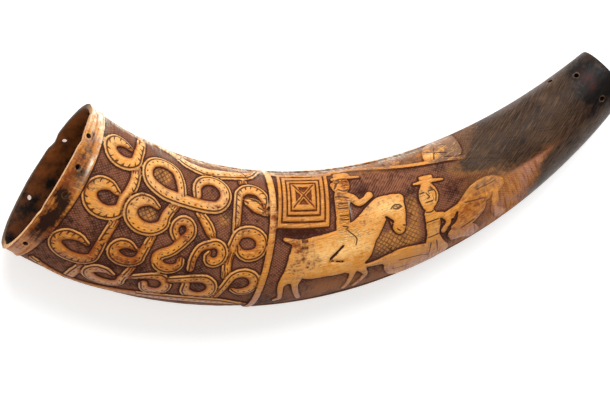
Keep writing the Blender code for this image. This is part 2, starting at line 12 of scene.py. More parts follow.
import bpy
import numpy as np
from mathutils import Euler, Matrix, Vector
from mathutils.kdtree import KDTree


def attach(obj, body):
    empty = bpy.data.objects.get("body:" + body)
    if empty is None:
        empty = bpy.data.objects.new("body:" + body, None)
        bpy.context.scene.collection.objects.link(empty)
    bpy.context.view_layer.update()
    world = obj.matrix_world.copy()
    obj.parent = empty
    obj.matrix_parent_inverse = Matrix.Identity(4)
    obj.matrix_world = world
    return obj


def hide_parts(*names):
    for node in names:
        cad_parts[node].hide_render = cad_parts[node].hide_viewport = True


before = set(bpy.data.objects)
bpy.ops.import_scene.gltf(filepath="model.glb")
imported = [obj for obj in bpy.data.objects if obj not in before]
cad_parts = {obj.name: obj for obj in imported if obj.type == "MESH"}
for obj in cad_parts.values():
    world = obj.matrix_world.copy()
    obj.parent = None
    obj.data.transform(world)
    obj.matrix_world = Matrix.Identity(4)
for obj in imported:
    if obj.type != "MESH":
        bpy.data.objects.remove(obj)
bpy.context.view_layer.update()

bl_info = {
    "name": "Carved powder horn",
    "version": (1, 0, 0),
    "blender": (4, 5, 0),
    "location": "3D View > Sidebar > Powder horn",
    "description": "Carves a flattened horn round its bore and lays it on a pale table",
    "category": "Add Mesh",
}

# Form of the horn, in metres and degrees, as in the solid.
LENGTH = 0.3176
BEND = 80.4
BEND_BIAS = 0.293
MOUTH_HEADING = -37.9
HALF_HEIGHTS = (0.0389, 0.0339, 0.0268, 0.0160)
MOUTH_DEPTH_SHARE = 0.64
TIP_DEPTH_SHARE = 0.85
MOUTH_CUT = (-4.1, -0.7)
TIP_CUT = (0.0, -2.8)
CUT_FADE = 0.012
MOUTH_WALL = 0.0027
TIP_WALL = 0.0046
LIE_TURN = (-3.0955, 1.4592, -0.0394)
LIE_ORIGIN = (0.144748, -0.018026, -0.024146)

# A peg hole is steps along and degrees round.
PEGS = (
    (2.6, 44), (4.3, 19), (5.6, -2), (4.4, -52), (4.2, -110), (4.6, -158), (4.4, 152), (4.2, 106),
    (303.1, 56), (291.6, 86), (304.5, -6),
)

# The carver's layout: places along in steps, turns in degrees, widths and depths in metres.
STEPS = 318
STEP = LENGTH / STEPS
COLLAR = 0.0086
COLLAR_BOW = 0.0017
DIVIDER_AT = 109.6
DIVIDER_LEAN = 0.06
DIVIDER = 0.0032
BORDER = 0.0020
COLLAR_LINE = 0.0014
SERPENT = 0.0062
LIMB = 0.0058
CROSSING_CUT = 0.0008
LINE_CUT = 0.0012
COLLAR_DROP = 0.0006
FADE_STEPS = (200, 236)
BACK_STRIP_TURN = 15
SQUARE = ((112.8, 18.0), (140.6, 16.3), (147.5, 78.0), (117.5, 79.0))
SQUARE_RINGS = (0.84, 0.65, 0.5)
BACK_SQUARES = 3
BACK_SQUARE_SIDE = 20
BACK_SQUARE_PITCH = 27
BACK_COILS = 5
BACK_COIL_FIRST = 21
BACK_COIL_PITCH = 17.6
BACK_COIL_REACH = 7.5
BACK_COIL_SPREAD = 16
BACK_COIL_SWEEP = (-10, 245)
BACK_COIL_SHARE = 0.82
BACK_LEAD_TURNS = (104, 120)
BACK_ROW_TURN = 135
BACK_SQUARE_TURNS = (121, 151)
BACK_BORDER_TURN = 101
SWELL_AT = (0, 0.3, 0.55, 0.8, 1)
SWELL = (0.95, 1.1, 1.03)
WEDGE_TIP = 0.1
WEDGE_BASE = 0.28
WEDGE_HALF = 0.13
FAR = 0.0024
PEG_MARGIN = 0.0008
SKIN_DEGREE = 0.0006
LEAST_DEGREE = 0.00035
PEG_HOLE = 0.0025
FRONT_TURN = 105
SHOULDER = 0.0012
MIDDLE_REACH = 0.0006
FINGER_REACH = 0.0034
COIL_STOP = -302
COIL_SHRINK = 0.74
NECK_BLEND = 26
HATCH_EDGE = 0.0006
GROUND_LEFT = 0.1
CROWN_LEFT = 0.25

# Where the finish needs them, lengths are in millimetres.
MM = 1000
FAR_MM = 3.0
CUT_REACH_MM = 1.6
PLATE_HALF_MM = 15.0
GROOVE_MM = 0.36

# The grid: rows near the rims, columns, and how points are moved on to the carving's edges.
MOUTH_ROWS = (0.0002, 0.0005, 0.0009)
TIP_ROWS = (0.0010, 0.0005, 0.0002)
ROWS_FROM = 0.0015
RIM_LEVELS = (0.08, 0.35, 0.65, 0.92)
BORE_FROM = 0.0004
BORE_FINE = 0.05
BORE_END = 0.002
MIDDLE_TURN = 60
MIDDLE_COLUMNS, SIDE_COLUMNS, BACK_COLUMNS = 110, 31, 25
SEAM_TURN = 179.9
SEAM_ALONG = 0.001
NEAR_SHARE = 1.6
SNAP_SHARE = 0.42
LEAST_SLOPE = 0.3
DRILL_DEPTH = 0.012
DRILL_SIDES = 20
PEG_REACH = 0.008

# Places on the bake map.
BAKE_ALONG = (0.01, 0.84, 0.99)
BAKE_FRONT = (0.01, 0.63)
BAKE_BACK = (0.65, 0.85)
BAKE_BORE = (0.9, 0.98)
BAKE_RIM = 0.865
BAKE_RIM_FROM = (0.05, 0.55)
BAKE_RIM_SPAN = 0.4
BAKE_RIM_WIDTH = 0.02
BAKE_PEGS = 0.99
BAKE_PEG_SPAN = 0.008

# Unevenness and wear: how short the waves are, and how far in from the rim the wear reaches.
WAVE_COUNT = 6
SLOW_WAVE = 0.011
CHISEL_WAVE = 0.0021
RIM_WAVE = 0.009
RIM_WAVE_DEPTH = 0.00015
RIM_ROUND = 0.0009
NICK_REACH = 0.004

# Nicks in the mouth's rim: degrees round, spread in degrees, and depth.
NICKS = ((158, 5, 0.0011), (38, 4, 0.0006), (-20, 3, 0.0004), (72, 6, 0.0005), (-96, 5, 0.0006))

# Stains, and painted highlights, reflections and sheen, as steps along, degrees round, reach in steps,
# reach in degrees and strength.
STAINS = {
    "brown": (
        (24, -32, 15, 20, 0.85), (43, -20, 12, 14, 0.6), (62, -18, 10, 12, 0.5), (64, 8, 10, 10, 0.35),
        (100, 2, 8, 12, 0.4), (82, -8, 10, 12, 0.35), (26, 58, 8, 8, 0.2), (103, -8, 4, 14, 0.4),
        (124, 2, 10, 8, 0.45), (176, 0, 6, 6, 0.2), (126, -14, 8, 8, 0.2), (154, 60, 9, 10, 0.35),
        (215, -6, 16, 14, 0.5), (150, 36, 8, 14, 0.25), (111, -10, 4, 40, 0.4), (70, -38, 40, 10, 0.3),
        (5, 24, 5, 20, 0.9), (5, 4, 6, 14, 0.9), (6, -32, 6, 20, 1.0), (84, 20, 40, 60, 0.15),
        (172, 9, 3, 7, 0.7), (5, 45, 3, 12, 0.5), (168, 58, 14, 8, 0.4), (156, 57, 5, 6, 0.4),
        (215, -30, 20, 16, 0.5), (196, -4, 5, 8, 0.2), (212, -16, 8, 8, 0.3),
    ),
    "burnt": (
        (5, -3, 3.4, 6, 1.8), (5, -27, 3.8, 9, 1.4), (5, -14, 5, 12, 0.55), (6, -42, 4, 9, 0.6),
        (3, 12, 2.4, 7, 0.7), (3.5, 30, 2.5, 6, 0.9), (7, 18, 3, 8, 0.8), (4, 48, 2.5, 5, 0.8),
        (8, -14, 3, 10, 0.9), (6, 64, 2, 6, 0.6), (6.5, 38, 2, 5, 0.8), (4, -62, 3, 4, 0.7),
        (14, -36, 4, 12, 0.25), (60, -28, 8, 6, 0.2),
    ),
    "rubbed": (
        (150, -8, 14, 8, 0.75), (152, 5, 10, 8, 0.6), (172, 22, 9, 9, 0.8), (138, -22, 14, 6, 0.3),
        (30, 15, 10, 12, 0.15), (40, 70, 50, 20, 0.5), (195, 14, 6, 14, 0.3), (110, 50, 4, 60, 0.4),
        (60, 86, 60, 14, 0.6), (5, 72, 8, 30, 0.8), (58, 42, 48, 28, 0.5), (60, -45, 55, 12, 0.3),
        (90, 45, 12, 12, 0.2), (194, -14, 5, 12, 0.35), (209, 66, 6, 6, 1.1), (134, -6, 18, 12, 0.6),
        (178, 14, 6, 14, 0.3),
    ),
    # Pink: horn rubbed grey and pink, and along the lower edge also a painted reflection of the pale table.
    "pink": (
        (64, -62, 56, 16, 1.0), (130, -50, 30, 12, 0.5), (205, -52, 45, 18, 0.8), (170, 84, 50, 12, 0.5),
        (5, -64, 7, 16, 0.9), (240, -36, 16, 16, 0.9), (60, -48, 60, 9, 0.3), (254, -12, 16, 20, 1.0),
        (60, 40, 30, 20, 0.15),
    ),
    "dull": (
        (186, 82, 10, 10, 1.0), (160, 84, 16, 9, 0.6), (174, 76, 24, 10, 0.6), (215, 78, 8, 9, 1.0),
        (236, 74, 18, 34, 2.2), (205, 30, 10, 6, 0.3), (226, 7, 12, 7, 0.35), (222, 86, 8, 14, 1.4),
        (194, 86, 14, 14, 1.6), (222, 52, 30, 7, 1.1), (5, 33, 4, 8, 0.9), (8, 12, 4, 12, 0.9),
        (3, 54, 3, 6, 0.6), (8, -46, 4, 8, 0.6), (5, 84, 6, 8, 0.4), (250, 0, 16, 16, 0.5),
        (250, 88, 14, 24, 2.5),
    ),
    # Painted highlights: white glints along the upper edge, on the collar's line and on the rider's side,
    # over some dry horn.
    "bleached": (
        (70, 91, 60, 10, 1.2), (5, 68, 6, 20, 0.7), (150, 91, 36, 8, 1.0), (20, 90, 14, 12, 0.6),
        (195, 92, 20, 8, 0.5), (75, 72, 40, 6, 0.35), (8.9, 32, 0.8, 12, 0.9), (153.8, 28, 0.5, 7, 0.8),
    ),
    "slanted": ((174, 50, 18, 15, 1.2), (226, 24, 14, 16, 0.6), (140, -50, 26, 12, 1.0)),
    "dark": (
        (24, -30, 16, 24, 0.5), (50, -30, 16, 14, 0.35), (4, -20, 8, 30, 0.5), (130, 12, 16, 4, 0.6),
        (216, 20, 14, 12, 0.6), (187, 12, 4, 20, 0.4), (125, 14, 14, 4, 0.5), (162, 44, 6, 8, 0.4),
        (118, -40, 6, 20, 0.3), (196, 62, 20, 10, 0.4), (172, 52, 20, 14, 0.3), (155, -46, 14, 10, 0.2),
    ),
    # Faded: where the carving is worn flat; along the upper and lower edges it also paints the washed-out
    # look of a grazing sheen.
    "faded": (
        (205, -56, 42, 16, 0.9), (195, 80, 45, 14, 0.8), (60, 92, 60, 12, 0.8), (60, -80, 60, 12, 0.5),
        (226, 0, 14, 20, 0.5), (254, -12, 18, 26, 1.2), (238, -40, 16, 24, 1.0), (138, -50, 24, 14, 0.45),
    ),
    "lozenge": (
        (176, -12, 13, 14, 1.1), (45, 12, 5, 6, 0.8), (48, 45, 6, 8, 0.9), (84, 20, 6, 10, 0.5),
        (187, 14, 4, 16, 0.7),
    ),
    "lined": ((150, 32, 7, 16, 1.0), (152, 6, 12, 10, 0.7), (193, -12, 5, 12, 0.6), (172, 18, 9, 10, 0.4)),
    "pitted": ((126, -17, 8, 6, 1.0), (126, 4, 5, 5, 0.5)),
    "rust": ((252, -6, 16, 6, 0.9), (246, -28, 8, 12, 0.7)),
    "red": ((306, 38, 3, 7, 0.8), (305, 24, 3, 7, 0.4), (306, 54, 3, 8, 0.2)),
    "mauve": ((285, -52, 45, 26, 1.2), (240, -60, 20, 16, 0.7), (280, 92, 50, 12, 0.8)),
    "tip": ((307, 22, 10, 30, 2.2), (310, 70, 9, 30, 0.9), (312, -40, 6, 40, 0.8), (296, -10, 5, 10, 0.8)),
}

# Where the carving fades into the neck, as degrees round and steps along.
NECK_EDGE = (
    (-180, 238), (-90, 240), (-35, 248), (-16, 256), (-6, 266), (2, 240), (16, 236), (26, 218),
    (38, 214), (48, 226), (60, 233), (84, 236), (105, 232), (180, 238),
)

# Old horn is waxed by hands and dusty, so it mirrors less than fresh keratin.
SHEEN = 0.1
KERATIN_IOR = 1.54
ACRYLIC_IOR = 1.5

# Roughness: satin on the tops, nearly matt in the ground and wherever the horn was left raw.
HORN_ROUGHNESS = 0.4
SATIN = (0.28, 0.46)
GROUND_ROUGHNESS = 0.75
EDGE_ROUGHNESS = 0.55
BORE_ROUGHNESS = 0.62
PEG_ROUGHNESS = 0.7
TABLE_ROUGHNESS = 0.9

# Cells to a metre, from real sizes: stains 17 mm wide, grain 2.4 mm, pores 1.1 mm, a waver 9 mm long.
CLOUD = 60.0
GRAIN = 420.0
PORES = 900.0
WARP = 110.0

# Cells to a metre: patches 8 mm wide in the bore, grime of 0.7 mm, and tones 330 mm wide on the table.
BORE_PATCHES = 120.0
GRIME = 1500.0
TONES = 3.0

# Growth layers of a cut edge, in cells to a metre: 2 mm long and 1.1 mm thick, as coarse as shows.
LAYERS = (500.0, 500.0, 900.0)

# Hair lines of long handling, in millimetres along and round, and their lean in radians.
HAIR_MM = (6.0, 0.42, 1.0)
HAIR_LEAN = 0.1

# Streaks round the horn, in cells to a millimetre: 1.25 mm wide and 9 mm long.
STREAKS = (0.8, 0.11, 1.0)

# Scraper marks on the neck: heading in radians, length and width in millimetres, and how sparse.
SCRAPER_MARKS = ((0.3, 9.0, 0.42, 0.5), (-0.5, 16.0, 0.4, 0.64))

# Hatching, fine and wide: its lean, and where a line's edge starts and ends, in shares of the spacing.
HATCHINGS = ((0.8, 0.1, 0.3), (1.0, 0.06, 0.2))

# Relief too fine for the mesh: its strength, and its depth in metres.
SKIN_BUMP = (0.8, 0.0004)
EDGE_BUMP = (0.4, 0.0002)
BORE_BUMP = (0.6, 0.0006)

# Lights, as name, power, side and place. The main one stands above the picture's top.
LIGHTS = (
    ("main light", 60, 1.5, (0.15, 1.8, 1.35)), ("side light", 5, 1.2, (-1.5, 0.3, 0.9)),
)
WORLD_STRENGTH = 0.56
TABLE_GLOW = 0.36

# How a stroke is finished: with ticks off its engraved line, with dashes, or plain.
TICKED, DASHED, PLAIN = range(3)


def linear(text):
    """An sRGB hex colour as linear red, green, blue and alpha."""
    parts = [int(text[place:place + 2], 16) / 255 for place in (1, 3, 5)]
    return [part / 12.92 if part <= 0.04045 else ((part + 0.055) / 1.055) ** 2.4 for part in parts] + [1.0]


def length(name, description, metres):
    return bpy.props.FloatProperty(
        name=name, description=description, default=metres, min=0.0, precision=5, unit="LENGTH")


def colour(name, description, text):
    return bpy.props.FloatVectorProperty(
        name=name, description=description, default=linear(text), size=4, min=0.0, max=1.0,
        subtype="COLOR")


class CarvingSizes(bpy.types.PropertyGroup):
    relief: length("Relief", "How deep the ground is cut", 0.00095)
    wall_run: length("Wall run", "How far the side of a raised part slopes out", 0.0005)
    crown: length("Crown", "How much lower a band's edges are than its middle", 0.00055)
    row: length("Row", "Spacing of the rows of points over the carving", 0.0007)
    neck_row: length("Neck row", "Spacing of the rows of points on the plain neck", 0.002)
    bore_row: length("Bore row", "Spacing of the rows of points in the bore", 0.009)
    peg_hole: length("Peg hole", "Diameter of a peg hole", PEG_HOLE)
    rim_wear: length("Rim wear", "How deep the cut rims are worn", 0.0003)
    line_inset: length("Line inset", "From a serpent's outer edge to its engraved line", 0.0012)
    line: length("Line", "Width of an engraved line", 0.00062)
    unevenness: length("Unevenness", "How uneven hand work leaves the skin", 0.00012)
    tick_pitch: length("Tick pitch", "Spacing of the ticks along a serpent", 0.0029)
    hatch: length("Hatching", "Spacing of the hatching on the ground", 0.0015)
    lozenge: length("Lozenges", "Spacing of the wider hatching", 0.0028)


class HornColours(bpy.types.PropertyGroup):
    honey: colour("Honey", "Polished raised horn", "#c98436")
    pale: colour("Pale", "Rubbed, dry raised horn", "#ecbb76")
    # Amber is stain, and it also paints the shade towards the edges of the raised parts.
    amber: colour("Amber", "Raised horn where it is stained", "#874110")
    # Pink is rubbed horn, and along the lower edge also a painted reflection of the table.
    pink: colour("Pink", "Raised horn rubbed grey and pink", "#b5826a")
    # Worn also paints a highlight along the serpents' outer rims; round the peg holes it is wear alone.
    worn: colour("Worn", "Outer edges of the serpents, rubbed dry", "#d2a468")
    plate: colour("Plate", "Raised horn of the nested squares", "#b0702f")
    burnt: colour("Burnt", "The darkest stains", "#140804")
    ground: colour("Ground", "Cut ground, with old dirt in it", "#83523a")
    lozenge: colour("Lozenge", "Tops between the hatched lines", "#b87c3c")
    # Ink is dirt in the cuts, and it also paints the shade at the foot of each wall.
    ink: colour("Ink", "Bottom of cut lines", "#3a170a")
    neck: colour("Neck", "Dark neck", "#2e1b0e")
    scrape: colour("Scrape", "Pale scratches on the neck", "#70553a")
    mauve: colour("Mauve", "Grey sheen low on the neck", "#54453d")
    rust: colour("Rust", "Rust streak along the neck", "#7d4420")
    tip: colour("Tip", "Polished dark tip", "#050202")
    red: colour("Red", "Dark red glow beside the tip", "#3d0d06")
    # The bore: amber near the mouth, and painted shade that goes near black further in.
    inside: colour("Inside", "Bore near the mouth", "#6a3712")
    depth: colour("Depth", "Bore further in", "#0d0603")
    dull: colour("Dull", "Raised horn under grey-brown dirt", "#6b503c")
    # Painted highlight: the white glints along the upper edge and elsewhere, over some dry horn.
    bleached: colour("Bleached", "Dry horn along the upper edge", "#fbecd4")
    rim: colour("Rim", "Cut edge of the mouth", "#cda06c")


class TableSizes(bpy.types.PropertyGroup):
    table: colour("Table", "Plain pale table", "#fafaf9")
    spread: length("Spread", "Side of the table", 6.0)
    lens: bpy.props.FloatProperty(name="Lens", description="Focal length in millimetres", default=100.0)
    away: length("Away", "From the camera to the horn's mouth", 0.78)
    yaw: bpy.props.FloatProperty(
        name="Yaw", description="Turn of the view to the side", default=math.radians(20.024),
        subtype="ANGLE")
    pitch: bpy.props.FloatProperty(
        name="Pitch", description="Turn of the view downwards", default=math.radians(13.008),
        subtype="ANGLE")
    aside: bpy.props.FloatVectorProperty(
        name="Aside", description="Where the mouth is from the middle of the view",
        default=(-0.11928, 0.013289), size=2, unit="LENGTH")


# Form of the horn.
def heading_at(share):
    return np.radians(MOUTH_HEADING + BEND * (share + BEND_BIAS * share * (1 - share)))


def middle_line():
    """Stations on the middle line, as shares of LENGTH and places."""
    share = np.linspace(-0.02, 1.02, 521)
    heading = heading_at(share)
    step = (share[1] - share[0]) * LENGTH
    line = [share]
    for run in (np.cos(heading) * step, np.sin(heading) * step):
        line.append(np.concatenate([[0.0], np.cumsum((run[1:] + run[:-1]) / 2)]))
    return line


def half_height_at(share):
    last = len(HALF_HEIGHTS) - 1
    return np.polyval(np.polyfit(np.arange(last + 1) / last, HALF_HEIGHTS, last), share)


def half_depth_at(share):
    return half_height_at(share) * (MOUTH_DEPTH_SHARE + (TIP_DEPTH_SHARE - MOUTH_DEPTH_SHARE) * share)


def wall_at(along):
    return MOUTH_WALL + (TIP_WALL - MOUTH_WALL) * along / LENGTH


def place(along, turn, rise):
    """Places of points that stand above the skin by rise, before the horn is laid down."""
    share = along / LENGTH
    angle = np.radians(turn)
    height = half_height_at(share)
    depth = half_depth_at(share)
    out_side = depth * np.sin(angle)
    out_up = height * np.cos(angle)
    out = np.hypot(out_side, out_up)
    side = height * np.sin(angle) + rise * out_side / out
    up = depth * np.cos(angle) + rise * out_up / out
    ends = [0, CUT_FADE, LENGTH - CUT_FADE, LENGTH]
    mouth_side, mouth_up, tip_side, tip_up = np.tan(np.radians(MOUTH_CUT + TIP_CUT))
    forward = side * np.interp(along, ends, [mouth_side, 0, 0, tip_side])
    forward = forward + up * np.interp(along, ends, [mouth_up, 0, 0, tip_up])
    heading = heading_at(share)
    stations, line_x, line_y = middle_line()
    x = np.interp(share, stations, line_x) - np.sin(heading) * side + np.cos(heading) * forward
    y = np.interp(share, stations, line_y) + np.cos(heading) * side + np.sin(heading) * forward
    return np.stack([x, y, up], axis=-1)


def lie_matrix():
    return Euler([math.radians(angle) for angle in LIE_TURN]).to_matrix()


def laid(places):
    """The places once the horn lies on its back."""
    return places @ np.array(lie_matrix()).T - LIE_ORIGIN


def stretch(along, turn):
    """Metres of skin for a metre along the middle line, and for a degree round it."""
    share = along / LENGTH
    angle = np.radians(turn)
    height = half_height_at(share)
    bend = np.radians(BEND) * (1 + BEND_BIAS * (1 - 2 * share)) / LENGTH
    round_reach = np.hypot(height * np.cos(angle), half_depth_at(share) * np.sin(angle))
    return 1 - bend * height * np.sin(angle), np.radians(round_reach)


# Strokes of the carving. A knot is steps along, degrees round and a share of the width.
def arc(along, turn, reach, spread, start, stop, shrink=1.0, knots=9):
    """Knots on an oval turn from one angle to another, which shrinks in its last part."""
    found = []
    for share in np.linspace(0, 1, knots):
        angle = math.radians(start + (stop - start) * share)
        size = 1 - (1 - shrink) * share**4
        found.append((along + reach * size * math.cos(angle), turn + spread * size * math.sin(angle)))
    return found


def smooth(knots, pieces=6):
    """Points on a smooth curve through the knots."""
    knots = np.array(knots, float)
    padded = np.vstack([2 * knots[0] - knots[1], knots, 2 * knots[-1] - knots[-2]])
    t = (np.arange(pieces) / pieces)[:, None]
    spans = []
    for a, b, c, d in zip(padded, padded[1:], padded[2:], padded[3:]):
        cubic = (3 * b - a - 3 * c + d) * t**3 + (2 * a - 5 * b + 4 * c - d) * t**2
        spans.append(b + (cubic + (c - a) * t) / 2)
    return np.vstack(spans + [knots[-1:]])


def swelling(route, size=1.0, ends=(0.75, 0.42)):
    """A serpent: fullest past its middle and thinner towards both ends."""
    points = smooth(route)
    share = np.linspace(0, 1, len(points))
    swell = np.interp(share, SWELL_AT, [ends[0], *SWELL, ends[1]])
    return np.column_stack([points, swell * size * SERPENT / 2])


def limb(knots, width):
    """A stroke whose share of the width is given at each knot."""
    points = smooth(knots)
    points[:, 2] *= width / 2
    return points


def coil(lead, along, turn, reach, spread, start=15):
    """A lead that winds clockwise into a spiral."""
    return lead + arc(along, turn, reach, spread, start, COIL_STOP, COIL_SHRINK)


def front_serpents():
    """The interlace next to the mouth, each with its finish. Each passes under those before it."""
    long_loop = [(60.5, 32.5), (59.3, 41)] + arc(48.1, 45.3, 9.6, 12.8, 15, 235)
    long_loop += [(50, 30.8), (56, 30), (64, 29.6), (72, 29.4)]
    long_loop += arc(76.5, 42.5, 8.5, 13, -68, 202)
    eight = arc(64.5, 7.8, 4.4, 7.3, 235, -40) + [(62.5, -9)] + arc(62.5, -18, 5.5, 7, 150, 378)
    lower_wave = [(12, -66), (30, -76), (56, -63), (75, -57), (92, -57), (104, -63)]
    upper_wave = [(36, 96), (54, 81), (62, 69.5), (75, 65), (88, 68.5), (100, 73), (107, 84)]
    lower_ring = [(67, -34), (73, -31)] + arc(80, -39, 6, 10.5, 110, -190)
    hook = [(73.3, -21), (73, -12), (75, -3)] + arc(82, -6, 4.5, 8.2, 120, -190, 0.5)
    corner_ring = [(88.5, -50), (90.5, -38)] + arc(98.5, -31, 6.3, 10.5, 150, -130, 0.9)
    inner_ring = [(90.4, -24), (89.4, -8)] + arc(98.3, 4, 7.3, 10.4, 150, -165, 0.75)
    long_neck = [(91.4, 12), (91.4, 28)] + arc(99.5, 39.4, 7.8, 13.6, 160, -12)
    leaf = [(48, -43), (55, -36.5)] + arc(61, -43, 5.2, 9.6, 110, -165, 0.9)
    head = [(97.5, 40, 0.7), (102, 36.5, 1.1), (105.5, 33, 0.8), (108.5, 30, 0.5)]
    return [
        (swelling(lower_wave, 0.74), DASHED),
        (swelling(long_loop, 0.88, (0.8, 0.75)), DASHED),
        (swelling(coil([(58, 26)], 45.5, 12, 9.5, 11.3)), DASHED),
        (swelling(coil([(51, -2)], 43.3, -20.4, 6.7, 7.8), 0.86), DASHED),
        (swelling(coil([(48.5, -31)], 40, -49, 7.5, 8.4, 20), 0.8), DASHED),
        (swelling(eight, 0.82, (0.8, 0.7)), DASHED),
        (swelling(lower_ring, 0.82, (0.75, 0.8)), DASHED),
        (swelling(hook, 0.76), DASHED),
        (swelling([(71, 24), (76, 16), (80.5, 6)], 0.72, (0.8, 0.6)), DASHED),
        (swelling(corner_ring, 0.78), DASHED),
        (swelling(inner_ring, 0.92), DASHED),
        (swelling(long_neck, 0.8), TICKED),
        (limb(head, LIMB), PLAIN),
        (swelling(leaf, 0.76, (0.6, 0.9)), DASHED),
        (swelling(coil([(33, 79), (32.5, 67)], 22.7, 50.2, 9.2, 10.2), 0.97), TICKED),
        (swelling(coil([(32.5, 44), (33.5, 28)], 23.2, 11, 9.3, 10.6, 20), 1.07, (0.7, 0.5)), TICKED),
        (swelling(coil([(31.7, -2), (31, -17)], 22.2, -31.8, 9.4, 10.2), 0.92), TICKED),
        (swelling([(29.5, -44), (28.5, -58), (29, -84)], 0.78, (0.9, 0.6)), DASHED),
        (swelling(upper_wave, 0.9), DASHED),
        (swelling([(95.5, 72), (95.5, 58)], 0.65, (1, 1)), DASHED),
    ]


def back_serpents():
    """The plainer back: two rows of like coils, one each side of the strip it lies on."""
    rows = []
    for row in (-1, 1):
        for count in range(BACK_COILS):
            along = BACK_COIL_FIRST + BACK_COIL_PITCH * count
            lead_at = along + BACK_COIL_PITCH / 2
            turned = arc(along, BACK_ROW_TURN, BACK_COIL_REACH, BACK_COIL_SPREAD, *BACK_COIL_SWEEP, 0.75)
            route = [(lead_at, turn) for turn in BACK_LEAD_TURNS] + turned
            stroke = swelling([(at, row * turn) for at, turn in route], BACK_COIL_SHARE)
            rows.append((stroke, TICKED if count % 2 == 0 else DASHED))
    return rows


def figures():
    """Rider and horse, the standing figure and the beasts, as limbs in one plain relief."""
    rider_and_horse = [
        [(126, -9, 2.2), (130, -10.5, 3.6), (138, -10, 3.8), (146, -9, 4.0), (152, -7, 3.8)],
        [(125, 0, 1.5), (123.5, -14, 1.7), (121, -26, 1.4)],
        [(150, -4, 3.4), (158.5, 5, 2.7), (165.5, 17, 2.1), (170.5, 24.5, 1.7), (176, 24.5, 1.6)],
        [(151, -22, 2.0), (157, -13, 1.6), (160, -2, 1.5)],
        [(177, 23, 1.9), (177.3, 15, 1.7), (177.3, 8, 1.4), (177.2, 2, 1.2), (177.4, -2, 0.8)],
        [(172, 27.5, 0.9), (180.8, 27.5, 0.9)], [(123, 5, 0.6), (119.5, 7, 0.4), (117, 8.5, 0.3)],
        [(120, -26, 1.2), (117.5, -35, 0.6), (118, -46, 0.42), (118.5, -54, 0.4), (116.5, -57, 0.35)],
        [(124, -26, 1.2), (124, -36, 0.6), (125.5, -47, 0.45), (127.5, -57, 0.4)],
        [(152, -27, 1.0), (151.5, -36, 0.5), (150.3, -46, 0.38), (148.5, -56, 0.36)],
        [(155, -27, 1.0), (157.5, -36, 0.5), (158, -42, 0.4), (153.5, -56, 0.36)],
        [(148, 14, 1.2), (149, 25, 1.15), (149.9, 35, 1.25), (151, 42, 1.35)],
        [(153, 43, 0.7), (156.5, 39, 0.7), (159, 33.5, 0.6), (163, 35.5, 0.5), (166, 39, 0.6)],
        [(152, 50, 0.9), (153, 56, 1.35), (154, 60, 1.1)], [(148.5, 57, 0.6), (149, 52, 0.6)],
        [(149, 65.5, 0.3), (156, 66.5, 0.35), (164.5, 64, 0.2)], [(153, 70, 0.75), (157.5, 70, 0.75)],
    ]
    standing_figure = [
        [(197.5, 27.5, 1.2), (196.8, 20, 1.75), (195.3, 12, 1.15)],
        [(194.5, 2, 1.0), (195, -8, 1.35), (194, -18, 1.2), (193.5, -25, 1.2)],
        [(193.5, -28, 1.4), (194, -40, 1.9), (196, -52, 2.1)],
        [(197, -2, 0.6), (201, -5, 0.5), (203, -14, 0.5), (199.5, -22, 0.5)],
        [(191.5, 37, 0.18), (199.5, 35.4, 0.32), (207.5, 31.2, 0.18)],
        [(196.5, 40.8, 0.35), (202, 38.9, 0.35)],
    ]
    beasts = [
        [(203, -7, 0.7), (211.5, -8, 1.4), (221, -1.5, 2.0), (228.5, -0.5, 1.9), (234, -2, 1.1)],
        [(208, -24, 1.6), (213, -19, 2.2), (219, -14, 1.9)],
        [(205, -34, 1.4), (212, -40, 1.5), (215, -50, 1.3)],
        [(230, -8, 0.9), (229.5, -20, 0.7), (228, -32, 0.7), (231, -46, 1.0)],
        [(170, -32, 1.2), (176, -34, 2.0), (183, -38, 2.2), (189, -42, 2.0)],
        [(171, -40, 1.3), (175, -48, 2.0), (182, -56, 2.4), (192, -62, 2.2)],
        [(157, -29, 0.3), (163, -29.5, 0.5), (170, -29, 0.9)],
    ]
    roofs = [
        [(186, 78, 1.2), (189, 78, 1.2)], [(206.5, 64, 0.8), (209, 76, 0.9), (213, 88, 0.8)],
        [(211.5, 61.5, 1.2), (214, 76, 1.3), (217.5, 93, 1.2)],
        [(217, 59, 1.2), (219.5, 76, 1.3), (221.5, 94, 1.2)],
        [(222.5, 57, 1.0), (224, 74, 1.0), (225, 90, 0.9)],
    ]
    return [limb(knots, LIMB) for knots in rider_and_horse + standing_figure + beasts + roofs]


def figure_cuts():
    """Cuts in the figures that show from a step away: boot, mouth, slots and a skirt's edge."""
    cuts = [
        [(147, -3, 0.9), (140.5, -13, 1.3)], [(140, -15.5, 0.8), (146.5, -18, 0.8)],
        [(171.3, 14, 1.0), (174.3, 8, 1.1), (173.6, 3, 0.6)],
        [(208.5, -9, 1.0), (206, -17, 2.0), (202, -22, 0.8)], [(229, -10, 0.8), (226, -19, 1.0)],
        [(236, -9, 0.6), (231.5, -32, 1.2)], [(199, -26, 0.8), (202, -40, 0.9), (203, -58, 0.8)],
    ]
    return [limb(knots, LINE_CUT) for knots in cuts]


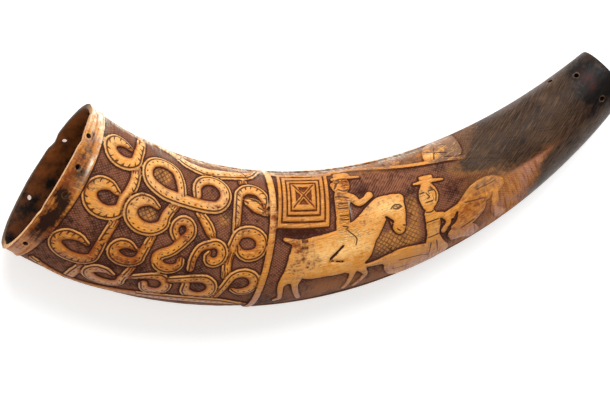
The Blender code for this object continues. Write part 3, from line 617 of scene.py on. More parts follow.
def fine_cuts():
    """Thin engraved lines too fine for the solid. A knot is steps along and degrees round."""
    notches = [[(at, turn), (at, turn - 1.6)] for turn in (6.6, 0.8) for at in (126, 127.3, 128.6)]
    cuts = [
        [(175, 20), (177, 22.5), (179.5, 22), (181, 19.5)], [(176.5, 19.5), (178.5, 18.3), (180.5, 19)],
        [(176, -0.5), (177.2, -3)], [(179.5, 1.5), (180.5, 0.3)],
        [(149.5, 64), (152, 60), (149.5, 57), (148.5, 53)], [(147.5, 62), (150, 57.5), (148, 52)],
        [(151, 63.5), (157, 64)], [(154.5, 60), (156.5, 59.5)], [(154, 55), (156.5, 54.5)],
        [(150, 50.5), (153, 48), (156, 49.5)], [(146.5, 43), (151, 42), (154, 40)],
        [(147, 20.5), (152.5, 19.5)], [(147.5, 24), (152.5, 23.6)], [(147, 31), (152.5, 30.4)],
        [(148, 36), (153, 35)], [(148, 14.5), (150.5, 13), (149, 11)], [(150, 10), (154, 2), (153.5, -4)],
        [(117.5, 79), (147.5, 78)], [(96, 42.5), (101, 42), (105, 40.5)], [(103, 35), (107, 31.5)],
        [(192.5, 25), (195, 25)], [(198, 25), (200, 24.5)], [(196, 23), (197, 19), (195.5, 18)],
        [(194, 14.5), (198, 14)], [(199.5, 28), (201, 21), (199.5, 13)], [(191.5, 6), (195, 4), (199, 5.5)],
        [(191, -5), (198, -6)], [(191, -22), (198, -23)], [(192, -30), (190.5, -48)],
        [(195, -30), (195.5, -50)], [(175, -36), (184, -40), (190, -46)], [(172, -46), (180, -50)],
        [(178, -58), (190, -55)], [(209, -30), (216, -28)], [(222, 4), (233, 2)], [(214, -3), (224, -9)],
        [(213.5, 77), (209, 58)], [(206, 75), (217, 60)], [(200, 66), (205, 82), (212, 104)],
        [(228, 96), (227, 73), (226.5, 52)], [(230.5, 96), (229.5, 73), (229, 53)],
        [(218, 78), (219.5, 74)], [(232, 104), (236, 94), (240.5, 85)], [(232.5, 77.5), (240, 79)],
        [(244.5, 86.5), (242, 54), (240.5, 46)], [(247, 84), (245.5, 64), (244, 48)],
        [(215, 55.5), (220.5, 50), (230, 43.5)], [(196, 88), (201, 72), (199, 64)], [(184, 88), (186, 70)],
        [(190, 86), (192, 68)], [(176, 88), (174, 76)], [(96, 76), (99, 66)],
    ]
    return [smooth(knots) for knots in notches + cuts]


def collar_at(turn):
    """Where the collar ends: its line bows away from the rim on the front and on the back."""
    return COLLAR + COLLAR_BOW * np.cos(2 * np.radians(turn))


def ribs():
    """Raised lines that part the carving: collar line, divider and long borders."""
    around = np.linspace(-180, 180, 121)
    half = np.ones(len(around)) / 2
    lean = DIVIDER_LEAN * around * (1 - np.abs(around) / 180)
    divider = np.column_stack([DIVIDER_AT + lean, around, half * DIVIDER])
    collar_line = np.column_stack([collar_at(around) / STEP, around, half * COLLAR_LINE])
    inner = [(112, 79, 1), (146, 76, 1), (150, 79, 1), (165, 79, 1), (182, 69, 1), (196, 61, 1)]
    inner += [(214, 52, 1), (226, 43, 1), (238, 36, 1)]
    outer = [(109, -84, 1), (150, -80, 1), (200, -78, 1), (232, -74, 1)]
    borders = [limb(inner, BORDER), limb(outer, BORDER)]
    for row in (-1, 1):
        back = [(at, row * BACK_BORDER_TURN, 1) for at in np.linspace(COLLAR / STEP, FADE_STEPS[1], 15)]
        borders.append(limb(back, BORDER))
    return [divider, collar_line] + borders


def outer_side(stroke):
    """Along a stroke, 1 where its outer side is on the left and -1 where it is on the right."""
    runs = np.diff(stroke[:, :2] * [STEP, SKIN_DEGREE], axis=0)
    turned = runs[:-1, 0] * runs[1:, 1] - runs[:-1, 1] * runs[1:, 0]
    turned = np.pad(turned, (0, 1), mode="edge") if len(turned) else np.ones(len(runs))
    window = max(3, len(turned) // 3)
    padded = np.pad(turned, window, mode="edge")
    local = np.convolve(padded, np.ones(window), "same")[window:-window]
    return np.where(local > 0, -1, 1)


# The skin's points, and what the carving is at each of them.
MARKS = ("serpent", "ticked", "dashed", "plate", "inset", "across", "run", "tuck")
PLATE_SIDES = ("plate_low", "plate_right", "plate_high", "plate_left")
NOTHING = dict.fromkeys(MARKS, 0.0) | dict.fromkeys(PLATE_SIDES, 2.0)


class Points:
    """Points of the skin with their depth inside the raised parts, in metres."""

    def __init__(self, along, turn):
        self.along = along
        self.turn = turn
        self.scales = stretch(along, turn)
        self.depth = np.full(len(along), -FAR)
        self.half = np.full(len(along), SERPENT / 2)
        self.marks = {name: np.full(len(along), value) for name, value in NOTHING.items()}

    def span(self, here, there=None):
        """Metres along and round from a place to another, or to each point, by the skin at each point."""
        steps, turn = there or (self.along / STEP, self.turn)
        return (steps - here[0]) * STEP * self.scales[0], (turn - here[1]) * self.scales[1]

    def left_of(self, here, there, spot=None):
        """How far the points, or one spot, lie to the left of the line between two corners."""
        run_s, run_t = self.span(here, there)
        gone_s, gone_t = self.span(here, spot)
        return (run_s * gone_t - run_t * gone_s) / np.hypot(run_s, run_t)

    def past_hole(self, peg):
        """How far each point is outside the wall of a peg hole."""
        return np.hypot(*self.span(peg)) - PEG_HOLE / 2

    def near(self, stroke):
        """Which points are near a stroke, and their depth, place across, place along and its width."""
        at, turns, half = stroke[:, 0] * STEP, stroke[:, 1], stroke[:, 2]
        reach = NEAR_SHARE * (FAR + half.max())
        spread = reach / LEAST_DEGREE
        close = (self.along > at.min() - reach) & (self.along < at.max() + reach)
        close &= (self.turn > turns.min() - spread) & (self.turn < turns.max() + spread)
        close = np.flatnonzero(close)
        along, turn = self.along[close], self.turn[close]
        along_scale, turn_scale = self.scales[0][close], self.scales[1][close]
        depth = np.full(len(close), -np.inf)
        across, run, width = np.zeros((3, len(close)))
        gone = 0.0
        sides = outer_side(stroke) if half.any() else np.ones(len(stroke) - 1)
        for number, side in enumerate(sides):
            run_s = (at[number + 1] - at[number]) * along_scale
            run_t = (turns[number + 1] - turns[number]) * turn_scale
            gone_s = (along - at[number]) * along_scale
            gone_t = (turn - turns[number]) * turn_scale
            size = np.hypot(run_s, run_t) + 1e-9
            share = np.clip((gone_s * run_s + gone_t * run_t) / size**2, 0, 1)
            away = np.hypot(gone_s - share * run_s, gone_t - share * run_t)
            wide = half[number] + (half[number + 1] - half[number]) * share
            better = np.flatnonzero(wide - away > depth)
            depth[better] = (wide - away)[better]
            across[better] = ((run_s * gone_t - run_t * gone_s) / size * side)[better]
            run[better] = (gone + share * size)[better]
            width[better] = wide[better]
            gone += float(np.median(size)) if len(size) else 0.0
        return close, depth, across, run, width

    def join(self, close, depth, width=SERPENT / 2, **marks):
        """The raised part takes over the points where it is nearer than what is there."""
        better = np.flatnonzero(depth > self.depth[close])
        mine = close[better]
        self.depth[mine] = depth[better]
        self.half[mine] = np.broadcast_to(width, len(close))[better]
        for name, kept in self.marks.items():
            kept[mine] = np.broadcast_to(marks.get(name, NOTHING[name]), len(close))[better]


def sides_of(corners):
    return zip(corners, corners[1:] + corners[:1])


def plate_depth(corners, points):
    """Depth inside a straight-sided plate whose corners run anticlockwise."""
    return np.min([points.left_of(*side) for side in sides_of(corners)], axis=0)


def nested_squares(corners, rings, points):
    """A plate with square rings cut round its middle, and a three-sided wedge in each quarter."""
    middle = np.mean(corners, axis=0)
    raised = plate_depth(corners, points)
    for ring in rings:
        inner = [tuple(middle + (np.array(corner) - middle) * ring) for corner in corners]
        raised = np.minimum(raised, np.abs(plate_depth(inner, points)) - LINE_CUT / 2)
    for here, there in sides_of(corners):
        outward = (np.array(here) + there) / 2 - middle
        base, half = middle + outward * WEDGE_BASE, (np.array(there) - here) * WEDGE_HALF
        wedge = [tuple(corner) for corner in (middle + outward * WEDGE_TIP, base - half, base + half)]
        raised = np.minimum(raised, -plate_depth(wedge, points))
    return raised


def plate_places(corners, points):
    """How near each point is to the four sides of a plate: 0 at its middle, 1 on that side."""
    middle = tuple(np.mean(corners, axis=0))
    return {name: 1 - points.left_of(*side) / points.left_of(*side, middle)
            for name, side in zip(PLATE_SIDES, sides_of(corners))}


def back_squares():
    """Corners of the plainer plates on the back, in one row each side of the strip."""
    plates = []
    half = BACK_SQUARE_SIDE / 2
    low, high = BACK_SQUARE_TURNS
    for row in (-1, 1):
        for count in range(BACK_SQUARES):
            at = DIVIDER_AT + DIVIDER / STEP + half + BACK_SQUARE_PITCH * (count + 0.15)
            corners = [(at - half, low), (at + half, low), (at + half, high), (at - half, high)]
            plates.append(tuple((along, row * turn) for along, turn in corners[::row]))
    return plates


def carve(along, turn):
    """The carving at these points: serpents that pass under each other, ribs, figures and plates."""
    points = Points(along, turn)
    everywhere = np.arange(len(along))
    for rib in ribs():
        close, depth, _, _, width = points.near(rib)
        points.join(close, depth, width)
    from_strip = (np.abs(turn) - (180 - BACK_STRIP_TURN)) * points.scales[1]
    points.join(everywhere, np.min([from_strip, along - COLLAR, FADE_STEPS[1] * STEP - along], axis=0))
    for stroke, finish in front_serpents() + back_serpents():
        close, depth, across, run, width = points.near(stroke)
        under = -points.depth[close] - CROSSING_CUT
        covered = np.sort(run[(np.abs(across) < MIDDLE_REACH) & (depth > 0) & (points.depth[close] > 0)])
        covered = np.concatenate([[-1.0], covered, [LENGTH * 2]])
        after = np.searchsorted(covered, run).clip(1, len(covered) - 1)
        from_crossing = np.minimum(run - covered[after - 1], covered[after] - run)
        points.join(
            close, np.minimum(depth, under), width, serpent=1, ticked=finish == TICKED,
            dashed=finish == DASHED, inset=width - across, across=across, run=run,
            tuck=np.clip(1 - from_crossing / FINGER_REACH, 0, 1))
    people = Points(along, turn)
    for stroke in figures():
        close, depth, _, _, width = people.near(stroke)
        people.join(close, depth, width)
    for stroke in figure_cuts():
        close, depth = people.near(stroke)[:2]
        people.depth[close] = np.minimum(people.depth[close], -depth)
    points.join(everywhere, people.depth, people.half)
    plainer = [(corners, SQUARE_RINGS[::2]) for corners in back_squares()]
    for corners, rings in [(SQUARE, SQUARE_RINGS)] + plainer:
        raised = nested_squares(corners, rings, points)
        points.join(everywhere, raised, plate=1, **plate_places(corners, points))
    for peg in PEGS:
        points.depth = np.minimum(points.depth, points.past_hole(peg) - PEG_MARGIN)
    points.depth = np.clip(points.depth, -FAR, FAR)
    return points


def snapped(along, turn, row, fixed):
    """The points, with those close to the edge of a raised part moved on to it."""
    here = carve(along, turn)
    close = np.flatnonzero((np.abs(here.depth) < SNAP_SHARE * row) & ~fixed)
    nudge = row / 5
    scale_s, scale_t = here.scales[0][close], here.scales[1][close]
    slope_s = (carve(along[close] + nudge / scale_s, turn[close]).depth - here.depth[close]) / nudge
    slope_t = (carve(along[close], turn[close] + nudge / scale_t).depth - here.depth[close]) / nudge
    steep = slope_s**2 + slope_t**2
    move = np.where(steep > LEAST_SLOPE, -here.depth[close] / np.maximum(steep, LEAST_SLOPE), 0)
    along, turn = along.copy(), turn.copy()
    along[close] += move * slope_s / scale_s
    turn[close] += move * slope_t / scale_t
    return along, turn


# The shape of the skin.
def faded(along, left):
    """1 over the carving, and what is left of it past the fade into the neck."""
    return np.interp(along, np.array(FADE_STEPS) * STEP, [1, left])


def ground_drop(along, turn, relief):
    """How deep the ground lies under the raised parts."""
    drop = np.interp(along - collar_at(turn), [-COLLAR_LINE, COLLAR_LINE], [COLLAR_DROP, relief])
    return drop * faded(along, GROUND_LEFT)


def waves(places, shortest, seed):
    """A soft unevenness between -1 and 1 at places, whose shortest waves are this long."""
    draws = np.random.default_rng(seed)
    total = np.zeros(len(places))
    for number in range(WAVE_COUNT):
        heading = draws.normal(size=3)
        pace = 2 * math.pi / (shortest * (1 + number * 0.7) * np.linalg.norm(heading))
        total += np.sin(places @ heading * pace + draws.uniform(0, 2 * math.pi)) / WAVE_COUNT
    return total


def skin_rise(points, sizes):
    """How far each point of the outer skin lies above the polished tops, nothing or less."""
    along, turn, depth = points.along, points.turn, points.depth
    drop = ground_drop(along, turn, sizes.relief)
    fade = faded(along, CROWN_LEFT)
    plain = points.marks["serpent"] < 0.5
    roundness = np.clip(depth / np.where(plain, SHOULDER, np.maximum(points.half, SHOULDER)), 0, 1)
    crown = sizes.crown * fade * np.where(plain, 0.6, 1)
    wall = np.clip(-depth / sizes.wall_run, 0, 1)
    wall = wall * wall * (3 - 2 * wall)
    rise = np.where(depth > 0, -crown * (1 - roundness) ** 2, -crown - (drop - crown).clip(0) * wall)
    skin = place(along, turn, 0)
    rise -= sizes.unevenness * (1 + waves(skin, SLOW_WAVE, 3)) / 2
    chipped = (depth < -sizes.wall_run) & (along > COLLAR)
    rise -= np.where(chipped, 0.8 * sizes.unevenness * waves(skin, CHISEL_WAVE, 4), 0) * fade
    for peg in PEGS:
        rise -= sizes.rim_wear * np.clip(1 - points.past_hole(peg) / PEG_MARGIN, 0, 1) ** 2
    edge = np.minimum(along, LENGTH - along)
    return rise - sizes.rim_wear * np.clip(1 - edge / RIM_ROUND, 0, 1) ** 2


def worn_back(along, turn):
    """How far the mouth's rim is worn back, with a few nicks in it."""
    back = RIM_WAVE_DEPTH * (1 + waves(place(along, turn, 0), RIM_WAVE, 5))
    for middle, spread, deep in NICKS:
        back += deep * np.exp(-((turn - middle) / spread) ** 2)
    return back * np.clip(1 - along / NICK_REACH, 0, 1)


def skin_rows(sizes):
    """Rows of the skin, as places along and shares of the way through the wall."""
    carved_end = (FADE_STEPS[1] + 4) * STEP
    outer = np.concatenate([
        MOUTH_ROWS, np.arange(ROWS_FROM, carved_end - sizes.row / 2, sizes.row),
        np.arange(carved_end, LENGTH - ROWS_FROM, sizes.neck_row), LENGTH - np.array(TIP_ROWS)])
    bore = np.concatenate([
        np.arange(BORE_FROM, BORE_FINE, sizes.bore_row / 2),
        np.arange(BORE_FINE, LENGTH - BORE_END, sizes.bore_row), [LENGTH - BORE_FROM]])[::-1]
    rim = np.array(RIM_LEVELS)
    along = np.concatenate([outer, rim * 0 + LENGTH, bore, rim * 0, outer[:1]])
    level = np.concatenate([outer * 0, rim, bore * 0 + 1, rim[::-1], [0]])
    return along, level, len(outer), len(outer) + len(rim), len(outer) + len(rim) + len(bore)


def skin_turns():
    """Columns of the skin, close together on the carved front and wider on the back."""
    middle = np.linspace(-MIDDLE_TURN, MIDDLE_TURN, MIDDLE_COLUMNS)
    side = np.linspace(MIDDLE_TURN, FRONT_TURN, SIDE_COLUMNS)[1:]
    back = np.linspace(FRONT_TURN, 180, BACK_COLUMNS)[1:]
    half = np.concatenate([side, back])
    return np.concatenate([-half[::-1], middle, half])


def read_all(items, name, width=1, kind=float):
    """One property of all the items, as an array."""
    found = np.zeros(len(items) * width, dtype=kind)
    items.foreach_get(name, found)
    return found


def roll_up(sizes):
    """The horn as a closed grid, rolled round: outside, tip rim, bore and mouth rim.

    A grid is the start because the carving is drawn on the skin in its own two coordinates, which
    no push or pull of a plain primitive gives.
    """
    row_along, row_level, tip_row, bore_row, mouth_row = skin_rows(sizes)
    turns = skin_turns()
    bpy.ops.object.select_all(action="DESELECT")
    bpy.ops.mesh.primitive_grid_add(
        x_subdivisions=len(turns) - 1, y_subdivisions=len(row_along) - 1, size=2, calc_uvs=True)
    horn = bpy.context.object
    horn.name = "carved_horn"
    mesh = horn.data
    flat = read_all(mesh.vertices, "co", 3)
    column = np.rint((flat[0::3] + 1) / 2 * (len(turns) - 1)).astype(int)
    line = np.rint((flat[1::3] + 1) / 2 * (len(row_along) - 1)).astype(int)
    line[line == len(row_along) - 1] = 0
    along, level, turn = row_along[line], row_level[line], turns[column]
    outer = np.flatnonzero(line < tip_row)
    fixed = (np.abs(turn) > SEAM_TURN) | (along < SEAM_ALONG) | (along > FADE_STEPS[1] * STEP)
    along[outer], turn[outer] = snapped(along[outer], turn[outer], sizes.row, fixed[outer])
    points = carve(along[outer], turn[outer])
    rise = -level * wall_at(along)
    rise[outer] = skin_rise(points, sizes)
    places = laid(place(along + worn_back(along, turn), turn, rise))
    places[:, 2] = places[:, 2].clip(0)
    places[column == len(turns) - 1] = places[column == 0]
    mesh.vertices.foreach_set("co", places.ravel())
    write_maps(mesh, along, turn, level, column, (tip_row, bore_row, mouth_row), len(row_along), turns)
    mesh.update()
    bpy.ops.object.mode_set(mode="EDIT")
    bpy.ops.mesh.select_all(action="SELECT")
    bpy.ops.mesh.remove_doubles(threshold=1e-6)
    bpy.ops.mesh.quads_convert_to_tris(quad_method="SHORTEST_DIAGONAL")
    bpy.ops.mesh.normals_make_consistent(inside=False)
    bpy.ops.object.mode_set(mode="OBJECT")
    return horn, points, along, places, outer


def write_maps(mesh, along, turn, level, column, bounds, row_count, turns):
    """The skin's map in metres along and round, its bake map, and the finish of each face."""
    corner = read_all(mesh.loops, "vertex_index", kind=np.int32)
    grid_v = read_all(mesh.uv_layers[0].data, "uv", 2)[1::2]
    line = np.rint(grid_v * (row_count - 1)).astype(int).reshape(-1, 4).min(axis=1)
    part = np.searchsorted(np.array(bounds) - 1, line, side="right")
    middle = turn[corner].reshape(-1, 4).mean(axis=1)
    on_back = np.abs(middle) > FRONT_TURN
    along, turn, level = along[corner], turn[corner], level[corner]
    reach = np.hypot(np.cos(np.radians(turns)), MOUTH_DEPTH_SHARE * np.sin(np.radians(turns)))
    way = np.cumsum(np.append(0, np.diff(np.radians(turns)) * (reach[1:] + reach[:-1]) / 2))
    way -= np.interp(0, turns, way)
    skin = np.column_stack([along, np.interp(turn, turns, way) * half_height_at(along / LENGTH)])
    part, on_back, middle = [np.repeat(values, 4) for values in (part, on_back, middle)]
    u = np.interp(along, [0, FADE_STEPS[1] * STEP, LENGTH], BAKE_ALONG)
    from_top = np.where(middle < 0, turn + 360, turn)
    v = np.interp(turn, [-FRONT_TURN, FRONT_TURN], BAKE_FRONT)
    v = np.where(on_back, np.interp(from_top, [FRONT_TURN, 360 - FRONT_TURN], BAKE_BACK), v)
    v = np.where(part == 2, np.interp(turn, [-180, 180], BAKE_BORE), v)
    is_rim = part % 2 == 1
    mouth_from, tip_from = BAKE_RIM_FROM
    rim_from = np.where(part == 1, tip_from, mouth_from)
    u = np.where(is_rim, (turn + 180) / 360 * BAKE_RIM_SPAN + rim_from, u)
    v = np.where(is_rim, BAKE_RIM + BAKE_RIM_WIDTH * level, v)
    mesh.uv_layers[0].name = "OFBake"
    mesh.uv_layers["OFBake"].data.foreach_set("uv", np.column_stack([u, v]).ravel())
    mesh.uv_layers.new(name="Skin").data.foreach_set("uv", skin.ravel())
    mesh.polygons.foreach_set("material_index", np.array([0, 1, 2, 1], dtype=np.int32)[part[::4]])


def peg_axis(steps, turn):
    """Two places on the axis of a peg hole, a millimetre under the skin and one over it."""
    spot = np.array([steps * STEP]), np.array([float(turn)])
    return [laid(place(*spot, rise))[0] for rise in (-0.001, 0.001)]


def drill_pegs(horn, sizes):
    """Cuts the peg holes through the wall, square to the skin."""
    bpy.ops.object.select_all(action="DESELECT")
    drills = []
    for peg in PEGS:
        low, high = [Vector(spot) for spot in peg_axis(*peg)]
        bpy.ops.mesh.primitive_cylinder_add(
            vertices=DRILL_SIDES, radius=sizes.peg_hole / 2, depth=DRILL_DEPTH, location=(low + high) / 2,
            rotation=(high - low).to_track_quat("Z", "Y").to_euler())
        drills.append(bpy.context.object)
    for drill in drills:
        drill.select_set(True)
    bpy.ops.object.join()
    drill = bpy.context.object
    drill.data.materials.append(horn.data.materials[3])
    drill.data.uv_layers[0].name = "OFBake"
    for corner in drill.data.uv_layers[0].data:
        corner.uv = [BAKE_PEGS + value * BAKE_PEG_SPAN for value in corner.uv]
    bpy.context.view_layer.objects.active = horn
    cut = horn.modifiers.new("peg holes", "BOOLEAN")
    cut.operation = "DIFFERENCE"
    cut.solver = "EXACT"
    cut.material_mode = "TRANSFER"
    cut.object = drill
    bpy.ops.object.modifier_apply(modifier=cut.name)
    bpy.data.objects.remove(drill)


# What the finish needs to know at each point.
def cut_marks(points):
    """How far each point lies to one side of the nearest fine cut, in millimetres, and its nearness."""
    side = np.full(len(points.along), FAR_MM)
    near = np.zeros(len(points.along))
    best = np.full(len(points.along), CUT_REACH_MM)
    for cut in fine_cuts():
        close, depth, across, _, _ = points.near(np.column_stack([cut, np.zeros(len(cut))]))
        away = -depth * MM
        better = np.flatnonzero(away < best[close])
        mine = close[better]
        best[mine] = away[better]
        side[mine] = across[better] * MM
        past_end = away[better] - np.abs(side[mine])
        near[mine] = np.clip(1.2 - past_end * 3, 0, 1)
    return side, near


def blobs(points, stains):
    """The sum of soft round stains: steps, degrees, reach in steps, reach in degrees, strength."""
    total = np.zeros(len(points.along))
    for steps, turn, reach, spread, strength in stains:
        away = ((points.along / STEP - steps) / reach) ** 2 + ((points.turn - turn) / spread) ** 2
        total += strength * np.exp(-away)
    return total


def from_pegs(spots):
    """How far each spot near a peg hole is from its wall, in millimetres."""
    found = np.full(len(spots), FAR_MM)
    for peg in PEGS:
        low, high = peg_axis(*peg)
        gone = spots - high
        axis = (high - low) / np.linalg.norm(high - low)
        away = np.linalg.norm(gone - np.outer(gone @ axis, axis), axis=1) - PEG_HOLE / 2
        beside = np.linalg.norm(gone, axis=1) < PEG_REACH
        found[beside] = np.minimum(found[beside], away[beside] * MM)
    return found


def write_marks(mesh, points, along, places, outer):
    """Stores at each point of the mesh what the finish needs, as named attributes."""
    marks = {name: values * (MM if name in ("inset", "across", "run") else 1)
             for name, values in points.marks.items()}
    marks.update({name: blobs(points, stains) for name, stains in STAINS.items()})
    marks["depth"] = points.depth * MM
    marks["cut_side"], marks["cut_near"] = cut_marks(points)
    marks["hatched"] = np.clip((points.along - collar_at(points.turn)) / HATCH_EDGE + 0.5, 0, 1)
    turns, edges = np.array(NECK_EDGE, float).T
    past_edge = points.along / STEP - np.interp(points.turn, turns, edges)
    marks["neck"] = past_edge / NECK_BLEND + 0.5
    tree = KDTree(len(places))
    for number, spot in enumerate(places):
        tree.insert(spot, number)
    tree.balance()
    spots = read_all(mesh.vertices, "co", 3).reshape(-1, 3)
    nearest = np.array([tree.find(spot)[1] for spot in spots])
    slot = np.zeros(len(places), dtype=int)
    slot[outer] = np.arange(len(outer)) + 1
    stored = {name: np.append(0.0, values)[slot[nearest]] for name, values in marks.items()}
    stored["share"] = (along / LENGTH)[nearest]
    stored["peg"] = from_pegs(spots)
    for name, values in stored.items():
        mesh.attributes.new(name, "FLOAT", "POINT").data.foreach_set("value", values)


# Finishes.
def feed(socket, value):
    """Links an input to an output, or sets it to a number, a vector or a colour."""
    if isinstance(value, bpy.types.NodeSocket):
        socket.id_data.links.new(value, socket)
    elif value is not None:
        socket.default_value = tuple(value) if hasattr(value, "__len__") else value


def add_node(tree, kind, *feeds, out=None, **settings):
    """Adds a node with its settings, feeds its inputs in order and gives one of its outputs.

    A kind in capitals is the work of a Math node, which goes on with a node more for each value
    that it has no input for. A Mix that is fed a colour mixes colours.
    """
    made = tree.nodes.new("ShaderNode" + ("Math" if kind.isupper() else kind))
    coloured = any(getattr(value, "type", "") == "RGBA" or np.size(value) == 4 for value in feeds)
    if kind.isupper():
        made.operation = kind
    elif kind == "Mix" and coloured:
        made.data_type = "RGBA"
    for name, value in settings.items():
        setattr(made, name, value)
    inputs, outputs = [[socket for socket in sockets if not socket.is_unavailable]
                       for sockets in (made.inputs, made.outputs)]
    for socket, value in zip(inputs, feeds):
        feed(socket, value)
    if feeds[len(inputs):]:
        return add_node(tree, kind, outputs[0], *feeds[len(inputs):])
    return made.outputs[out] if out else outputs[0]


def fresh(name, roughness, ior=KERATIN_IOR):
    """A new material, its shader's inputs, and what adds its nodes."""
    material = bpy.data.materials.new(name)
    material.use_nodes = True
    inputs = material.node_tree.nodes["Principled BSDF"].inputs
    inputs["Roughness"].default_value = roughness
    inputs["IOR"].default_value = ior
    inputs["Specular IOR Level"].default_value = SHEEN
    return material, inputs, partial(add_node, material.node_tree)


def polished_horn(sizes, colours):
    """Cattle horn, carved, polished by hands and stained by use.

    The raised keratin glows honey to amber with a satin gloss, fine cut lines hold dark dirt, the
    ground is cross-hatched and nearly matt, and the neck was scraped, then went dark.
    """
    material, inputs, add = fresh("carved_polished_horn", HORN_ROUGHNESS)
    names = (*MARKS, *PLATE_SIDES, *STAINS, "depth", "cut_side", "cut_near", "hatched", "neck", "peg")
    read = {name: add("Attribute", out="Fac", attribute_name=name) for name in names}
    spot = add("TexCoord", out="Object")
    skin_mm = add("VectorMath", add("UVMap", uv_map="Skin"), (MM, MM, MM), operation="MULTIPLY")
    along = add("SeparateXYZ", skin_mm)
    around = along.node.outputs["Y"]

    # Unevenness that every mask shares: a slow one, a fine one and their sum.
    cloud = add("TexNoise", spot, CLOUD, 4.0, 0.6)
    grain = add("TexNoise", spot, GRAIN, 3.0, 0.6)
    mottle = add("MapRange", cloud, 0.35, 0.65, -0.35, 0.35)
    speck = add("MapRange", grain, 0.32, 0.68, -0.35, 0.35)
    uneven = add("ADD", mottle, speck)
    patchy = add("MapRange", uneven, -0.4, 0.4, 0.1, 1.9)

    def in_patches(name):
        """A stain, broken up."""
        return add("MULTIPLY", patchy, read[name], use_clamp=True)

    def off_middle(value):
        """How far a value is from the middle between two whole numbers, for lines that repeat."""
        return add("ABSOLUTE", add("SUBTRACT", add("FRACT", value), 0.5))

    # Nested squares: how far inside the rings each point is, in millimetres.
    low, right, high, left = [read[name] for name in PLATE_SIDES]
    out = add("MAXIMUM", low, right, high, left)
    in_rings = add("MULTIPLY", add("SUBTRACT", 1.0, out), PLATE_HALF_MM)
    for ring in SQUARE_RINGS:
        off = add("ABSOLUTE", add("SUBTRACT", out, ring))
        in_rings = add("MINIMUM", in_rings, add("MULTIPLY_ADD", off, PLATE_HALF_MM, -GROOVE_MM))
    sideways = add("ABSOLUTE", add("SUBTRACT", right, left))
    upwards = add("ABSOLUTE", add("SUBTRACT", high, low))
    crossed = add("MULTIPLY_ADD", add("ABSOLUTE", add("SUBTRACT", sideways, upwards)), 5.0, -GROOVE_MM)
    crossed = add("ADD", crossed, add("MapRange", out, 0.42, 0.5, 0.0, 9.0))
    from_tip = add("SUBTRACT", out, WEDGE_TIP, add("MULTIPLY", add("MINIMUM", sideways, upwards), 0.5))
    wedged = add("MINIMUM", from_tip, add("SUBTRACT", WEDGE_BASE + 0.03, out))
    in_rings = add("MINIMUM", in_rings, crossed, add("MULTIPLY", wedged, -PLATE_HALF_MM))
    on_plate = add("MULTIPLY", add("MapRange", out, 1.0, 1.04, 1.0, 0.0),
                   add("MapRange", read["plate"], 0.4, 0.6, 0.0, 1.0))

    # Raised parts, whose cut edges waver a little.
    waver = add("MapRange", grain, 0.3, 0.7, -0.14, 0.14)
    depth = add("ADD", add("Mix", on_plate, read["depth"], in_rings), waver)
    raised = add("MapRange", depth, -0.12, 0.12, 0.0, 1.0, interpolation_type="SMOOTHSTEP")
    on_neck = add("MapRange", add("MULTIPLY_ADD", uneven, 0.3, read["neck"]), 0.2, 0.8, 0.0, 1.0,
                  interpolation_type="SMOOTHSTEP")
    carved = add("SUBTRACT", 1.0, on_neck, use_clamp=True)
    # Where faded, the ground and cuts give way to the colour of the tops: worn carving, and along the upper
    # and lower edges a painted sheen.
    kept = add("MapRange", read["faded"], 0.1, 1.1, 1.0, 0.15)
    ground = add("MULTIPLY", add("SUBTRACT", 1.0, raised), read["hatched"], carved)

    # The engraved line along each serpent, with wedge-shaped ticks or a row of dashes.
    off = add("SUBTRACT", read["inset"], sizes.line_inset * MM)
    beside = add("ABSOLUTE", off)
    line = add("MapRange", beside, sizes.line * MM * 0.3, sizes.line * MM * 0.7, 1.0, 0.0)
    slant = add("MULTIPLY_ADD", speck, 1.2, add("MULTIPLY_ADD", off, 0.5, read["run"]))
    phase = off_middle(add("DIVIDE", slant, sizes.tick_pitch * MM))
    tick = add("SUBTRACT", add("MapRange", off, 0.0, 2.0, 0.18, 0.05), phase)
    tick = add("MULTIPLY", add("MapRange", tick, -0.02, 0.03, 0.0, 1.0), read["ticked"],
               add("MapRange", off, 1.6, 2.1, 1.0, 0.0), add("MapRange", off, 0.0, 0.2, 0.0, 1.0))
    middle = add("ABSOLUTE", add("SUBTRACT", off, 1.35))
    dash = add("MULTIPLY", add("MapRange", middle, 0.15, 0.4, 1.0, 0.0),
               add("MapRange", phase, 0.12, 0.2, 1.0, 0.0), read["dashed"])
    finger = add("MapRange", off_middle(add("MULTIPLY", read["across"], 0.85)), 0.12, 0.24, 1.0, 0.0)
    tucked = add("MapRange", read["tuck"], 0.12, 0.3, 0.0, 1.0)
    cuts = add("Mix", tucked, add("MAXIMUM", line, tick, dash), finger)
    cuts = add("MULTIPLY", cuts, read["serpent"])

    # Fine cuts in the figures, rows of hair-thin lines, and pits.
    fine = add("MapRange", add("ABSOLUTE", read["cut_side"]), 0.2, 0.48, 1.0, 0.0)
    fine = add("MULTIPLY", fine, read["cut_near"])
    thread = off_middle(add("MULTIPLY_ADD", speck, 1.5, around))
    thread = add("MULTIPLY", add("MapRange", thread, 0.1, 0.25, 0.6, 0.0),
                 add("MapRange", add("ADD", read["lined"], speck), 0.3, 0.7, 0.0, 0.8))
    pores = add("TexNoise", spot, PORES, 1.0, 0.5)
    pits = add("MULTIPLY", add("MapRange", pores, 0.62, 0.7, 0.0, 1.0),
               add("MapRange", read["pitted"], 0.1, 0.6, 0.12, 1.0))
    cuts = add("MAXIMUM", cuts, fine, thread, pits)
    cuts = add("MULTIPLY", cuts, add("MapRange", depth, 0.1, 0.4, 0.0, 1.0), carved, kept)

